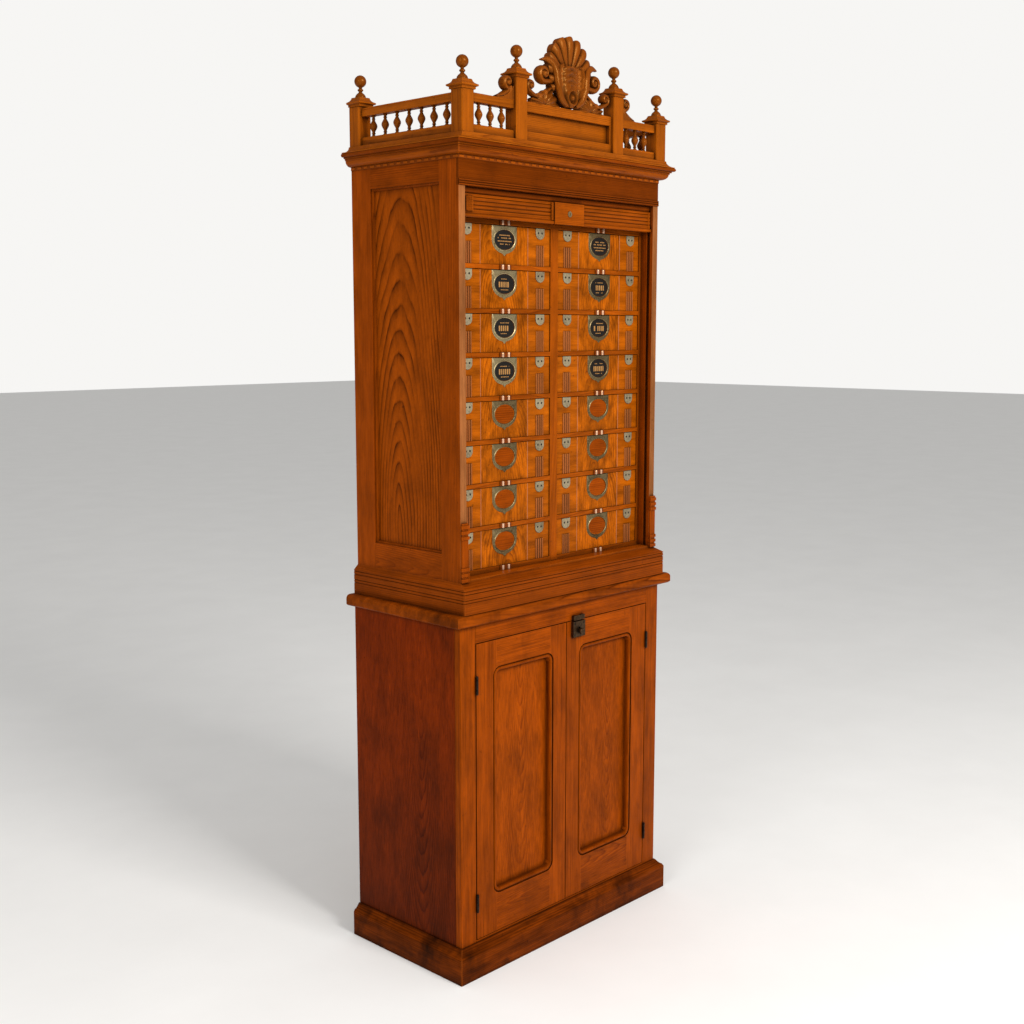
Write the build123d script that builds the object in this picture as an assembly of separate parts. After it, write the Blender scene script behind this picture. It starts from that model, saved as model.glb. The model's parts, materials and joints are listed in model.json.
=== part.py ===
from build123d import *
import math
import os

# An upright cabinet letter file: an eight-row nest of drawers behind a roll shutter, on a
# two-door cupboard, with a turned gallery and a carved crest. Millimetres, +Z up, the front
# faces -Y, and the origin lies on the floor under the middle of the cornice. A "depth" is
# measured forwards from the flat back.

# ------------------------------------------------------------------ upper case
CASE_WIDTH = 736.0
CASE_DEPTH = 377.0
CASE_WALL = 20.0
SIDE_FRONT_STILE = 65.0
SIDE_BACK_STILE = 70.0
SIDE_RAIL_LOW = 63.0
SIDE_RAIL_HIGH = 48.0
SIDE_PANEL_THICKNESS = 8.0
SIDE_PANEL_RECESS = 10.0
PANEL_LAP = 8.0
BACK_THICKNESS = 8.0
FLOOR_THICKNESS = 18.0

# ------------------------------------------------------------------ cornice and frieze
LINTEL_HEIGHT = 66.0
FRIEZE_HEIGHT = 60.0
FRIEZE_THICKNESS = 8.0
ARCHITRAVE_HEIGHT = 15.0
ARCHITRAVE_BEADS = 3
ARCHITRAVE_PROUD = 3.0
DENTIL_HEIGHT = 8.0
DENTIL_PITCH = 24.0
DENTIL_LENGTH = 14.0
DENTIL_PROUD = 2.5
DENTIL_MARGIN = 1.5
COVE_HEIGHT = 22.0
COVE_RADIUS = 14.0
COVE_FOOT = 3.0
COVE_FILLET = 2.0
COVE_UPPER_FILLET = 6.0
COVE_FILLET_HEIGHT = 3.0
CORNICE_SIDE_REACH = 32.0
CORNICE_FRONT_REACH = 34.0
CORNICE_BOARD = 9.0
GALLERY_BASE_HEIGHT = 17.0
GALLERY_BASE_FILLET = 2.0
GALLERY_BASE_MARGIN = 1.0

# ------------------------------------------------------------------ nest of drawers
ROWS = 8
ROW_PITCH = 104.2
SHELF_THICKNESS = 11.0
DIVIDER_WIDTH = 28.0
NEST_SIDE = 8.0
NEST_SETBACK = 39.0
NEST_BACK_DEPTH = 32.0
RAIL_BLOCK_WIDTH = 39.0
RAIL_BLOCK_THICKNESS = 1.5
RAIL_BEAD_RADIUS = 5.0
RAIL_BEAD_PITCH = 19.0

# ------------------------------------------------------------------ drawers
DRAWER_SIDE_GAP = 1.0
DRAWER_TOP_GAP = 1.4
DRAWER_FLOOR_GAP = 0.4
DRAWER_FRONT_SETBACK = 2.5
DRAWER_FRONT = 14.0
DRAWER_LENGTH = 286.0
DRAWER_WALL = 8.0
DRAWER_BOTTOM = 5.0
DRAWER_WALL_DROP = 9.0
DRAWER_JOINT = 82.3
PLATE_THICKNESS = 1.5
SHIELD_HALF_WIDTH = 43.0
SHIELD_HEIGHT = 69.0
WINDOW_CENTRE_DROP = 32.5
WINDOW_HALF_WIDTH = 35.0
WINDOW_HALF_HEIGHT = 24.0
CLIP_OFFSET = 126.0
CLIP_HALF_WIDTH = 15.5
CLIP_HEIGHT = 27.0
CLIP_HOLE_RADIUS = 2.6
CLIP_HOLE_OFFSET = 6.5
REED_STRIP_WIDTH = 30.0
REED_STRIP_DROP = 41.0

# ------------------------------------------------------------------ roll shutter
TRACK_SETBACK = 14.5
TRACK_HALF_WIDTH = 5.0
TRACK_CUT = 8.0
TRACK_CORNER = 50.0
TRACK_TOP_DROP = 51.0
TRACK_BACK_DEPTH = 20.0
TRACK_TAIL_DROP = 700.0
SHUTTER_SIDE_GAP = 1.5
SHUTTER_TONGUE_GAP = 1.0
LEAD_BAR_HEIGHT = 52.0
LEAD_BAR_THICKNESS = 10.5
LEAD_BAR_FLOOR_GAP = 1.0
LEAD_BAR_DROP = 1.6
REED_COUNT = 4
REED_RADIUS = 4.0
LIP_HEIGHT = 8.0
LIP_PROUD = 4.0
TONGUE_INSET = 2.0
BLOCK_LET_IN = 1.0
LOCK_BLOCK_WIDTH = 108.0
LOCK_BLOCK_CENTRE = 16.0
LOCK_BLOCK_THICKNESS = 6.5
ESCUTCHEON_RADIUS = 7.0
ESCUTCHEON_THICKNESS = 1.2
KEYHOLE_RADIUS = 2.2
FLUTED_BLOCK_WIDTH = 22.0
FLUTED_BLOCK_INSET = 8.0
FLUTED_BLOCK_MARGIN = 5.0
CURTAIN_THICKNESS = 7.0
CURTAIN_STORE = 95.0

# ------------------------------------------------------------------ jamb blocks
JAMB_BLOCK_HEIGHT = 142.0
JAMB_BLOCK_PROUD = 6.0
JAMB_BLOCK_WIDTH = 22.0
JAMB_RINGS = 3
JAMB_RING_PITCH = 13.0
JAMB_RING_HEIGHT = 8.0
JAMB_RING_PROUD = 2.0
JAMB_FOOT = 2.0

# ------------------------------------------------------------------ cupboard
BASE_SIDE_REACH = 12.0
BASE_FRONT_REACH = 9.0
BASE_HEIGHT = 884.0
BASE_WALL = 20.0
FACE_FRAME = 20.0
FACE_STILE = 50.5
FACE_TOP_RAIL = 49.5
DOOR_SILL = 86.5
PLINTH_HEIGHT = 82.0
PLINTH_REACH = 22.0
PLINTH_FACE = 62.0
PLINTH_STEP = 4.0
SHELF_BOARD = 18.0
SHELF_HEIGHT = 455.0
SHELF_FRONT_SETBACK = 46.0
CLEAT = 18.0
COUNTER_THICKNESS = 28.0
COUNTER_SIDE_REACH = 27.5
COUNTER_FRONT_REACH = 23.0
COUNTER_ROUND = 11.0
COUNTER_UNDERCUT = 4.0
WAIST_HEIGHT = 73.0
WAIST_SIDE_REACH = 13.0
WAIST_FRONT_REACH = 26.0
WAIST_CHAMFER = 12.0
WAIST_GROOVE = 2.0
WAIST_GROOVE_RISES = (28.0, 35.0, 49.0, 57.0)
FLOOR_LIP = 5.0

# ------------------------------------------------------------------ doors
DOOR_THICKNESS = 22.0
DOOR_GAP = 3.0
DOOR_END_GAP = 2.0
DOOR_MEETING_GAP = 1.5
DOOR_OUTER_STILE = 57.0
DOOR_MEETING_STILE = 48.0
DOOR_TOP_RAIL = 66.5
DOOR_BOTTOM_RAIL = 96.5
DOOR_QUIRK = 12.0
DOOR_QUIRK_DEPTH = 4.0
DOOR_CORNER = 25.0
DOOR_PANEL_THICKNESS = 7.0

# ------------------------------------------------------------------ hinges
HINGE_HEIGHT = 45.0
HINGE_KNUCKLE_RADIUS = 3.4
HINGE_PIN_RADIUS = 1.5
HINGE_FIT = 0.05
HINGE_LEAF = 1.2
HINGE_LEAF_DEPTH = 18.0
HINGE_AXIAL_GAP = 0.4
HINGE_STAND_OFF = 0.2
HINGE_TOP_DROP = 78.0
HINGE_BOTTOM_RISE = 71.5

# ------------------------------------------------------------------ cupboard catch
CATCH_LEFT = 18.0
CATCH_WIDTH = 46.0
CATCH_HEIGHT = 41.0
CATCH_THICKNESS = 8.0
CATCH_TOP_GAP = 1.0
BOLT_WIDTH = 18.0
BOLT_THICKNESS = 3.0
BOLT_LENGTH = 30.0
BOLT_TRAVEL = 7.0
BOLT_GAP = 0.4
BOLT_BACK = 2.0
KNOB_STEM_RADIUS = 3.0
KNOB_RADIUS = 8.0
KNOB_REACH = 12.0
KNOB_RISE = 16.0
KNOB_NECK = 2.0
KNOB_ROUND = 2.5
KEEPER_INSET = 2.0
KEEPER_LIFT = 0.5
KEEPER_HEIGHT = 12.0

# ------------------------------------------------------------------ gallery
POST_SIZE = 39.0
POST_CHAMFER = 3.0
POST_HEIGHT = 93.0
INNER_POST_HEIGHT = 140.0
POST_INSET = 6.0
INNER_POST_OFFSET = 178.5
POST_FRONT_REACH = 19.0
CAP_NECK = 43.0
CAP_NECK_HEIGHT = 6.0
CAP_BRIM = 53.0
CAP_BRIM_HEIGHT = 5.0
CAP_ROOF_TOP = 28.0
CAP_ROOF_HEIGHT = 12.0
FINIAL_DOME = 13.0
FINIAL_NECK = 4.5
FINIAL_RING = 7.0
FINIAL_BALL = 14.5
FINIAL_NECK_LENGTH = 26.0
FINIAL_RING_HEIGHT = 5.0
FINIAL_RING_RISE = 18.0
FINIAL_BALL_SINK = 2.0
RAIL_HEIGHT = 20.0
RAIL_WIDTH = 23.0
RAIL_GAP = 49.0
SPINDLE_RADIUS = 9.2
SPINDLE_NECK = 3.2
SPINDLE_FOOT = 5.0
SPINDLE_FOOT_HEIGHT = 3.5
SPINDLE_SHOULDER = 4.6
SPINDLE_SHOULDER_OFFSET = 11.0
SIDE_SPINDLES = 7
FRONT_SPINDLES = 3
SIDE_SPINDLE_PITCH = 42.6
FRONT_SPINDLE_PITCH = 37.0

# ------------------------------------------------------------------ crest
CREST_PANEL_HEIGHT = 91.0
CREST_PANEL_FRONT_INSET = 10.0
CREST_PANEL_THICKNESS = 20.0
CREST_PANEL_RAIL = 23.0
CREST_PANEL_STILE = 6.0
CREST_FIELD_THICKNESS = 8.0
SHELL_HEIGHT = 170.0
SHELL_HINGE_RISE = 66.0
SHELL_LOBES = 9
SHELL_SPREAD = 230.0
SHELL_WIDTH_SHARE = 0.58
SHELL_THICKNESS = 20.0
CARTOUCHE_HALF_WIDTH = 52.0
CARTOUCHE_HEIGHT = 96.0
CARTOUCHE_PROUD = 12.0
CARTOUCHE_PINCH = 0.18
SHELL_STEM_HALF_WIDTH = 12.0
LOBE_NOTCH = 0.06
SCROLL_THICKNESS = 22.0
C_SCROLL_RADIUS = 19.0
C_SCROLL_OFFSET = 92.0
C_SCROLL_RISE = 72.0
POST_SCROLL_RADIUS = 13.0
POST_SCROLL_RISE = 39.0
ARM_THICKNESS = 12.0
UPPER_ARM_DROP = 6.0
LOWER_ARM_DROP = 30.0
LEAF_HALF_WIDTH = 24.0
LEAF_HEIGHT = 19.0
LEAF_OFFSET = 76.0
VOLUTE_RADIUS = 17.0
VOLUTE_RISE = 37.0
VOLUTE_FOOT = 56.0

# ------------------------------------------------------------------ derived places
CORNICE_DEPTH = CASE_DEPTH + CORNICE_FRONT_REACH
BACK_Y = CORNICE_DEPTH / 2
CASE_X = CASE_WIDTH / 2
INNER_X = CASE_X - CASE_WALL
BASE_X = CASE_X + BASE_SIDE_REACH
BASE_DEPTH = CASE_DEPTH + BASE_FRONT_REACH
COUNTER_TOP = BASE_HEIGHT + COUNTER_THICKNESS
WAIST_TOP = COUNTER_TOP + WAIST_HEIGHT
NEST_FLOOR = WAIST_TOP + FLOOR_LIP
NEST_DEPTH = CASE_DEPTH - NEST_SETBACK
NEST_X = INNER_X - NEST_SIDE
NEST_TOP = NEST_FLOOR + SHELF_THICKNESS + ROWS * ROW_PITCH
LINTEL_Z = NEST_TOP + LINTEL_HEIGHT
FRIEZE_TOP = LINTEL_Z + FRIEZE_HEIGHT
COVE_Z = FRIEZE_TOP + DENTIL_HEIGHT
CORNICE_BOARD_Z = COVE_Z + COVE_HEIGHT
CORNICE_TOP = CORNICE_BOARD_Z + CORNICE_BOARD
GALLERY_Z = CORNICE_TOP + GALLERY_BASE_HEIGHT
CELL_WIDTH = NEST_X - DIVIDER_WIDTH / 2
COLUMN_X = (NEST_X + DIVIDER_WIDTH / 2) / 2
CELL_HEIGHT = ROW_PITCH - SHELF_THICKNESS
TRACK_DEPTH = CASE_DEPTH - TRACK_SETBACK
LEAD_BAR_Z = NEST_TOP - LEAD_BAR_DROP
LEAD_BAR_TOP = LEAD_BAR_Z + LEAD_BAR_HEIGHT
DOOR_OPENING_X = BASE_X - FACE_STILE
DOOR_LINTEL = BASE_HEIGHT - FACE_TOP_RAIL
DOOR_Z0 = DOOR_SILL + DOOR_END_GAP
DOOR_Z1 = DOOR_LINTEL - DOOR_END_GAP
DOOR_X1 = DOOR_OPENING_X - DOOR_GAP
HINGE_X = DOOR_OPENING_X - DOOR_GAP / 2
HINGE_DEPTH = BASE_DEPTH + HINGE_KNUCKLE_RADIUS + HINGE_STAND_OFF
HINGE_CENTRES = (DOOR_Z1 - HINGE_TOP_DROP - HINGE_HEIGHT / 2,
                 DOOR_Z0 + HINGE_BOTTOM_RISE + HINGE_HEIGHT / 2)
POST_X = CASE_X + POST_INSET - POST_SIZE / 2
POST_FRONT = CASE_DEPTH + POST_FRONT_REACH - POST_SIZE / 2
POST_BACK = POST_SIZE / 2
CAP_HEIGHT = CAP_NECK_HEIGHT + CAP_BRIM_HEIGHT + CAP_ROOF_HEIGHT
CREST_Z = GALLERY_Z + CREST_PANEL_HEIGHT
CREST_DEPTH = CASE_DEPTH + POST_FRONT_REACH - CREST_PANEL_FRONT_INSET


# ------------------------------------------------------------------ shape helpers
def y_at(depth):
    """Y of a plane that lies this far in front of the flat back."""
    return BACK_Y - depth


def slab(x0, x1, depth0, depth1, z0, z1):
    """Square-edged board between two X, two depths and two heights."""
    size = (x1 - x0, depth1 - depth0, z1 - z0)
    centre = ((x0 + x1) / 2, y_at((depth0 + depth1) / 2), (z0 + z1) / 2)
    return Pos(*centre) * Box(*size)


def both_sides(solid):
    """A piece and its mirror image across the middle of the cabinet."""
    return [solid, mirror(solid, about=Plane.YZ)]


def facing_plate(face, depth, thickness):
    """Plate cut from a face drawn in (x, z), its back at the given depth."""
    plane = Plane(origin=(0, y_at(depth), 0), x_dir=(1, 0, 0), z_dir=(0, -1, 0))
    return extrude(plane * face, amount=thickness)


def upright_bar(face, x0, x1):
    """Bar along X whose section is drawn in (depth, z)."""
    plane = Plane(origin=(x1, BACK_Y, 0), x_dir=(0, -1, 0), z_dir=(-1, 0, 0))
    return extrude(plane * face, amount=x1 - x0)


def polygon(points):
    """Flat face inside a closed run of straight lines."""
    return make_face(Polyline(*points, close=True))


def moulding_runs(section, front_section, half_width, depth, side_reach, front_reach):
    """Front run and two side returns of a moulding, mitred at the front corners.

    Each section is drawn in (offset outwards, z).
    """
    front_y = y_at(depth)
    far = 1.5
    out_x = half_width + far * side_reach
    out_y = front_y - far * front_reach
    z_low = section.bounding_box().min.Y - 1
    z_span = section.bounding_box().max.Y + 1 - z_low
    front_plane = Plane(origin=(out_x, front_y, 0), x_dir=(0, -1, 0), z_dir=(-1, 0, 0))
    front = extrude(front_plane * front_section, amount=2 * out_x)
    wedge = polygon([(-half_width, front_y), (half_width, front_y), (out_x, out_y), (-out_x, out_y)])
    front = front & (Pos(0, 0, z_low) * extrude(wedge, amount=z_span))
    side_plane = Plane(origin=(half_width, BACK_Y, 0), x_dir=(1, 0, 0), z_dir=(0, -1, 0))
    side = extrude(side_plane * section, amount=BACK_Y - out_y)
    corner = polygon([(half_width, BACK_Y), (out_x, BACK_Y), (out_x, out_y), (half_width, front_y)])
    side = side & (Pos(0, 0, z_low) * extrude(corner, amount=z_span))
    return [front] + both_sides(side)


def edged_slab(edge, front_edge, half_width, depth, z0):
    """Board with the same moulded edge on three sides and a flat back.

    Each edge is a list of (inset, height) steps, from the underside to the top.
    """
    left = [(-half_width + inset, z0 + height) for inset, height in edge]
    right = [(half_width - inset, z0 + height) for inset, height in reversed(edge)]
    across = extrude(Plane(origin=(0, BACK_Y, 0), x_dir=(1, 0, 0), z_dir=(0, -1, 0)) * polygon(left + right),
                     amount=depth)
    front = [(depth - inset, z0 + height) for inset, height in front_edge]
    back = [(0, z0 + front_edge[-1][1]), (0, z0 + front_edge[0][1])]
    return across & upright_bar(polygon(front + back), -half_width, half_width)


def quarter_round(radius, height, steps=6):
    """Steps of a quarter-round edge that ends at this height."""
    angles = [math.pi / 2 * i / steps for i in range(steps + 1)]
    return [(radius * (1 - math.cos(a)), height - radius + radius * math.sin(a)) for a in angles]


def turned(points, x, depth, z):
    """Turned piece: its half outline is given as (radius, height) stations."""
    stations = [(r, h) for r, h in points]
    rim = Spline(*stations)
    bottom = Line((0, stations[0][1]), stations[0])
    top = Line(stations[-1], (0, stations[-1][1]))
    axis = Line((0, stations[-1][1]), (0, stations[0][1]))
    profile = make_face([bottom, rim, top, axis])
    return Pos(x, y_at(depth), z) * revolve(Plane.XZ * profile, axis=Axis.Z)


def save(name, solids):
    """Write one sub-part, each of its pieces as its own solid."""
    pieces = []
    for item in solids:
        pieces.extend(item.solids())
    export_step(Compound(children=pieces, label=name), os.path.join("parts", name + ".step"))


# ------------------------------------------------------------------ cupboard
def base_plinth():
    """Skirting around the front and sides, with a moulded top."""
    step = PLINTH_STEP
    section = polygon([(0, 0), (PLINTH_REACH, 0), (PLINTH_REACH, PLINTH_FACE),
                       (PLINTH_REACH - step, PLINTH_FACE + step * 1.5),
                       (PLINTH_REACH - 2 * step, PLINTH_FACE + step * 2),
                       (PLINTH_REACH - 3 * step, PLINTH_FACE + step * 3),
                       (step, PLINTH_HEIGHT), (0, PLINTH_HEIGHT)])
    return moulding_runs(section, section, BASE_X, BASE_DEPTH, PLINTH_REACH, PLINTH_REACH)


def base_side():
    """Right-hand side board of the cupboard."""
    return slab(BASE_X - BASE_WALL, BASE_X, 0, BASE_DEPTH - FACE_FRAME, 0, BASE_HEIGHT)


def base_back():
    """Back boards between the cupboard's sides."""
    inner = BASE_X - BASE_WALL
    return [slab(-inner, inner, 0, BACK_THICKNESS, DOOR_SILL - FLOOR_THICKNESS, BASE_HEIGHT)]


def base_face_frame():
    """Two stiles and two rails around the door opening."""
    depth0 = BASE_DEPTH - FACE_FRAME
    stile = slab(DOOR_OPENING_X, BASE_X, depth0, BASE_DEPTH, 0, BASE_HEIGHT)
    top = slab(-DOOR_OPENING_X, DOOR_OPENING_X, depth0, BASE_DEPTH, DOOR_LINTEL, BASE_HEIGHT)
    low = slab(-DOOR_OPENING_X, DOOR_OPENING_X, depth0, BASE_DEPTH, 0, DOOR_SILL)
    return both_sides(stile) + [top, low]


def base_floor():
    """Cupboard floor, level with the bottom rail."""
    inner = BASE_X - BASE_WALL
    return [slab(-inner, inner, BACK_THICKNESS, BASE_DEPTH - FACE_FRAME, DOOR_SILL - FLOOR_THICKNESS,
                 DOOR_SILL)]


def base_shelf():
    """One shelf on a cleat at each end."""
    inner = BASE_X - BASE_WALL
    front = BASE_DEPTH - SHELF_FRONT_SETBACK
    board = slab(-inner, inner, BACK_THICKNESS, front, SHELF_HEIGHT, SHELF_HEIGHT + SHELF_BOARD)
    cleat = slab(inner - CLEAT, inner, BACK_THICKNESS, front, SHELF_HEIGHT - CLEAT, SHELF_HEIGHT)
    return [board] + both_sides(cleat)


def base_counter():
    """Top board of the cupboard, thumb-moulded on three edges."""
    edge = [(COUNTER_UNDERCUT, 0), (0, COUNTER_UNDERCUT)] + quarter_round(COUNTER_ROUND, COUNTER_THICKNESS)
    return [edged_slab(edge, edge, CASE_X + BASE_SIDE_REACH + COUNTER_SIDE_REACH,
                       BASE_DEPTH + COUNTER_FRONT_REACH, BASE_HEIGHT)]


def rounded_opening(x0, x1, z0, z1, corner, depth0, depth1):
    """Cutter with rounded corners, from one depth to another."""
    face = Pos((x0 + x1) / 2, (z0 + z1) / 2) * RectangleRounded(x1 - x0, z1 - z0, corner)
    return facing_plate(face, depth0, depth1 - depth0)


def door_layout():
    """X and Z limits of the right door's sight opening."""
    return (DOOR_MEETING_GAP + DOOR_MEETING_STILE + DOOR_QUIRK, DOOR_X1 - DOOR_OUTER_STILE - DOOR_QUIRK,
            DOOR_Z0 + DOOR_BOTTOM_RAIL + DOOR_QUIRK, DOOR_Z1 - DOOR_TOP_RAIL - DOOR_QUIRK)


def door_frame():
    """Right door's stiles and rails, with a quirked and rounded sight opening."""
    x0, x1, z0, z1 = door_layout()
    back = BASE_DEPTH - DOOR_THICKNESS
    corner = DOOR_CORNER - DOOR_QUIRK
    boards = [slab(DOOR_MEETING_GAP, x0, back, BASE_DEPTH, DOOR_Z0, DOOR_Z1),
              slab(x1, DOOR_X1, back, BASE_DEPTH, DOOR_Z0, DOOR_Z1),
              slab(x0, x1, back, BASE_DEPTH, z1 - corner, DOOR_Z1),
              slab(x0, x1, back, BASE_DEPTH, DOOR_Z0, z0 + corner)]
    hole = rounded_opening(x0, x1, z0, z1, corner, back, BASE_DEPTH)
    quirk = rounded_opening(x0 - DOOR_QUIRK, x1 + DOOR_QUIRK, z0 - DOOR_QUIRK, z1 + DOOR_QUIRK,
                            DOOR_CORNER, BASE_DEPTH - DOOR_QUIRK_DEPTH, BASE_DEPTH)
    rabbet = slab(x0 - PANEL_LAP, x1 + PANEL_LAP, back, back + DOOR_PANEL_THICKNESS,
                  z0 - PANEL_LAP, z1 + PANEL_LAP)
    return [board - hole - quirk - rabbet for board in boards]


def door_panel():
    """Right door's flat panel, let into the back of its frame."""
    x0, x1, z0, z1 = door_layout()
    back = BASE_DEPTH - DOOR_THICKNESS
    return slab(x0 - PANEL_LAP, x1 + PANEL_LAP, back, back + DOOR_PANEL_THICKNESS, z0 - PANEL_LAP,
                z1 + PANEL_LAP)


def hinge_knuckle(z0, z1, centre_z, bored):
    """One barrel section of a butt hinge, from z0 to z1 about the hinge's centre."""
    barrel = Pos(HINGE_X, y_at(HINGE_DEPTH), centre_z + (z0 + z1) / 2) * Cylinder(HINGE_KNUCKLE_RADIUS,
                                                                                  z1 - z0)
    if bored:
        bore = Pos(HINGE_X, y_at(HINGE_DEPTH), centre_z) * Cylinder(HINGE_PIN_RADIUS + HINGE_FIT,
                                                                    HINGE_HEIGHT + 2)
        barrel = barrel - bore
    return barrel


def hinge_leaf(x0, x1, z0, z1, centre_z):
    """Leaf plate in the joint between door and stile."""
    return slab(x0, x1, BASE_DEPTH - HINGE_LEAF_DEPTH, HINGE_DEPTH - HINGE_PIN_RADIUS - HINGE_FIT,
                centre_z + z0, centre_z + z1)


def case_hinge_leaves():
    """Fixed half of each right-hand hinge: two knuckles, a leaf and the pin."""
    half = HINGE_HEIGHT / 2
    third = HINGE_HEIGHT / 6
    halves = []
    for centre_z in HINGE_CENTRES:
        leaf = hinge_leaf(DOOR_OPENING_X - HINGE_LEAF, DOOR_OPENING_X, -half, half, centre_z)
        notch = hinge_knuckle(-third - HINGE_AXIAL_GAP, third + HINGE_AXIAL_GAP, centre_z, False)
        pin = Pos(HINGE_X, y_at(HINGE_DEPTH), centre_z) * Cylinder(HINGE_PIN_RADIUS, HINGE_HEIGHT)
        body = leaf - notch + hinge_knuckle(third + HINGE_AXIAL_GAP, half, centre_z, False)
        body = body + hinge_knuckle(-half, -third - HINGE_AXIAL_GAP, centre_z, False) + pin
        halves.append(body)
    return halves


def door_hinge_leaves():
    """Moving half of each right-hand hinge: the middle knuckle and its leaf."""
    third = HINGE_HEIGHT / 6
    half = HINGE_HEIGHT / 2
    halves = []
    for centre_z in HINGE_CENTRES:
        knuckle = hinge_knuckle(-third, third, centre_z, True)
        leaf = hinge_leaf(DOOR_X1, DOOR_X1 + HINGE_LEAF, -half, half, centre_z)
        for low, high in ((third, half + 1), (-half - 1, -third)):
            leaf = leaf - slab(DOOR_X1, HINGE_X + HINGE_KNUCKLE_RADIUS, BASE_DEPTH,
                               HINGE_DEPTH + HINGE_KNUCKLE_RADIUS,
                               centre_z + low, centre_z + high)
        bore = Pos(HINGE_X, y_at(HINGE_DEPTH), centre_z) * Cylinder(HINGE_PIN_RADIUS + HINGE_FIT,
                                                                    HINGE_HEIGHT + 2)
        halves.append(knuckle + leaf - bore)
    return halves


# ------------------------------------------------------------------ cupboard catch
CATCH_TOP = DOOR_Z1 - CATCH_TOP_GAP
CATCH_X = CATCH_LEFT + CATCH_WIDTH / 2
BOLT_Z1 = CATCH_TOP
KNOB_Z = CATCH_TOP - CATCH_HEIGHT + KNOB_RISE


def catch_case():
    """Case of the catch, hollow for the bolt and slotted for the knob's stem."""
    shell = slab(CATCH_LEFT, CATCH_LEFT + CATCH_WIDTH, BASE_DEPTH, BASE_DEPTH + CATCH_THICKNESS,
                 CATCH_TOP - CATCH_HEIGHT, CATCH_TOP)
    half = BOLT_WIDTH / 2 + BOLT_GAP
    bore = slab(CATCH_X - half, CATCH_X + half, BASE_DEPTH + BOLT_BACK - BOLT_GAP,
                BASE_DEPTH + BOLT_BACK + BOLT_THICKNESS + BOLT_GAP,
                CATCH_TOP - BOLT_LENGTH - BOLT_GAP, CATCH_TOP + 1)
    stem = KNOB_STEM_RADIUS + BOLT_GAP
    slot = slab(CATCH_X - stem, CATCH_X + stem, BASE_DEPTH + BOLT_BACK, BASE_DEPTH + CATCH_THICKNESS + 1,
                KNOB_Z - stem, KNOB_Z + BOLT_TRAVEL + stem)
    return [shell - bore - slot]


def catch_bolt():
    """Sliding bolt with its turned knob, drawn down to its stop."""
    bolt = slab(CATCH_X - BOLT_WIDTH / 2, CATCH_X + BOLT_WIDTH / 2, BASE_DEPTH + BOLT_BACK,
                BASE_DEPTH + BOLT_BACK + BOLT_THICKNESS, BOLT_Z1 - BOLT_LENGTH, BOLT_Z1)
    stem_length = CATCH_THICKNESS - BOLT_BACK + KNOB_NECK + 1
    face = BASE_DEPTH + CATCH_THICKNESS
    forward = Rot(90, 0, 0)
    stem = Pos(CATCH_X, y_at(BASE_DEPTH + BOLT_BACK + stem_length / 2), KNOB_Z) * forward * Cylinder(
        KNOB_STEM_RADIUS, stem_length)
    head_length = KNOB_REACH - KNOB_NECK
    head = Pos(CATCH_X, y_at(face + KNOB_NECK + head_length / 2), KNOB_Z) * forward * Cylinder(
        KNOB_RADIUS, head_length)
    head = fillet(head.edges().filter_by(GeomType.CIRCLE), radius=KNOB_ROUND)
    return [bolt + stem + head]


def catch_keeper():
    """Keeper on the top rail: two lugs and the strap that joins them in front of the bolt."""
    z0 = DOOR_LINTEL + KEEPER_LIFT
    z1 = z0 + KEEPER_HEIGHT
    half = CATCH_WIDTH / 2 - KEEPER_INSET
    gap_half = BOLT_WIDTH / 2 + 2 * BOLT_GAP
    front = BASE_DEPTH + CATCH_THICKNESS
    strap_back = BASE_DEPTH + BOLT_BACK + BOLT_THICKNESS + 2 * BOLT_GAP
    return [slab(CATCH_X - half, CATCH_X - gap_half, BASE_DEPTH, front, z0, z1),
            slab(CATCH_X + gap_half, CATCH_X + half, BASE_DEPTH, front, z0, z1),
            slab(CATCH_X - gap_half, CATCH_X + gap_half, strap_back, front, z0, z1)]


# ------------------------------------------------------------------ upper case
def waist_moulding():
    """Moulded base of the upper case, deeper in front than at the sides."""
    def section(reach):
        face = [(0, COUNTER_TOP), (reach, COUNTER_TOP)]
        for rise in WAIST_GROOVE_RISES:
            z = COUNTER_TOP + rise
            face += [(reach, z - WAIST_GROOVE / 2), (reach - WAIST_GROOVE, z), (reach, z + WAIST_GROOVE / 2)]
        face += [(reach, WAIST_TOP - WAIST_CHAMFER), (0, WAIST_TOP)]
        return polygon(face)
    return moulding_runs(section(WAIST_SIDE_REACH), section(WAIST_FRONT_REACH), CASE_X, CASE_DEPTH,
                         WAIST_SIDE_REACH, WAIST_FRONT_REACH)


def track_cutter():
    """Groove for the shutter: up the front, over the nest and down behind it."""
    def ring(grow):
        depth0 = TRACK_BACK_DEPTH - grow
        depth1 = TRACK_DEPTH + grow
        top = CORNICE_BOARD_Z - TRACK_TOP_DROP + grow
        low = NEST_FLOOR - 3 * TRACK_CORNER
        face = Pos((depth0 + depth1) / 2, (low + top) / 2) * RectangleRounded(
            depth1 - depth0, top - low, TRACK_CORNER + grow)
        return upright_bar(face, INNER_X - 1, INNER_X + TRACK_CUT)
    loop = ring(TRACK_HALF_WIDTH) - ring(-TRACK_HALF_WIDTH)
    below = slab(0, CASE_X, 0, CASE_DEPTH, 0, NEST_FLOOR)
    tail = slab(0, CASE_X, 0, CASE_DEPTH / 2, 0, CORNICE_BOARD_Z - TRACK_TAIL_DROP)
    return loop - below - tail


def side_opening():
    """Depth and height limits of the sight opening in the upper side."""
    return (SIDE_BACK_STILE, CASE_DEPTH - SIDE_FRONT_STILE, WAIST_TOP + SIDE_RAIL_LOW,
            FRIEZE_TOP - SIDE_RAIL_HIGH)


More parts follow.
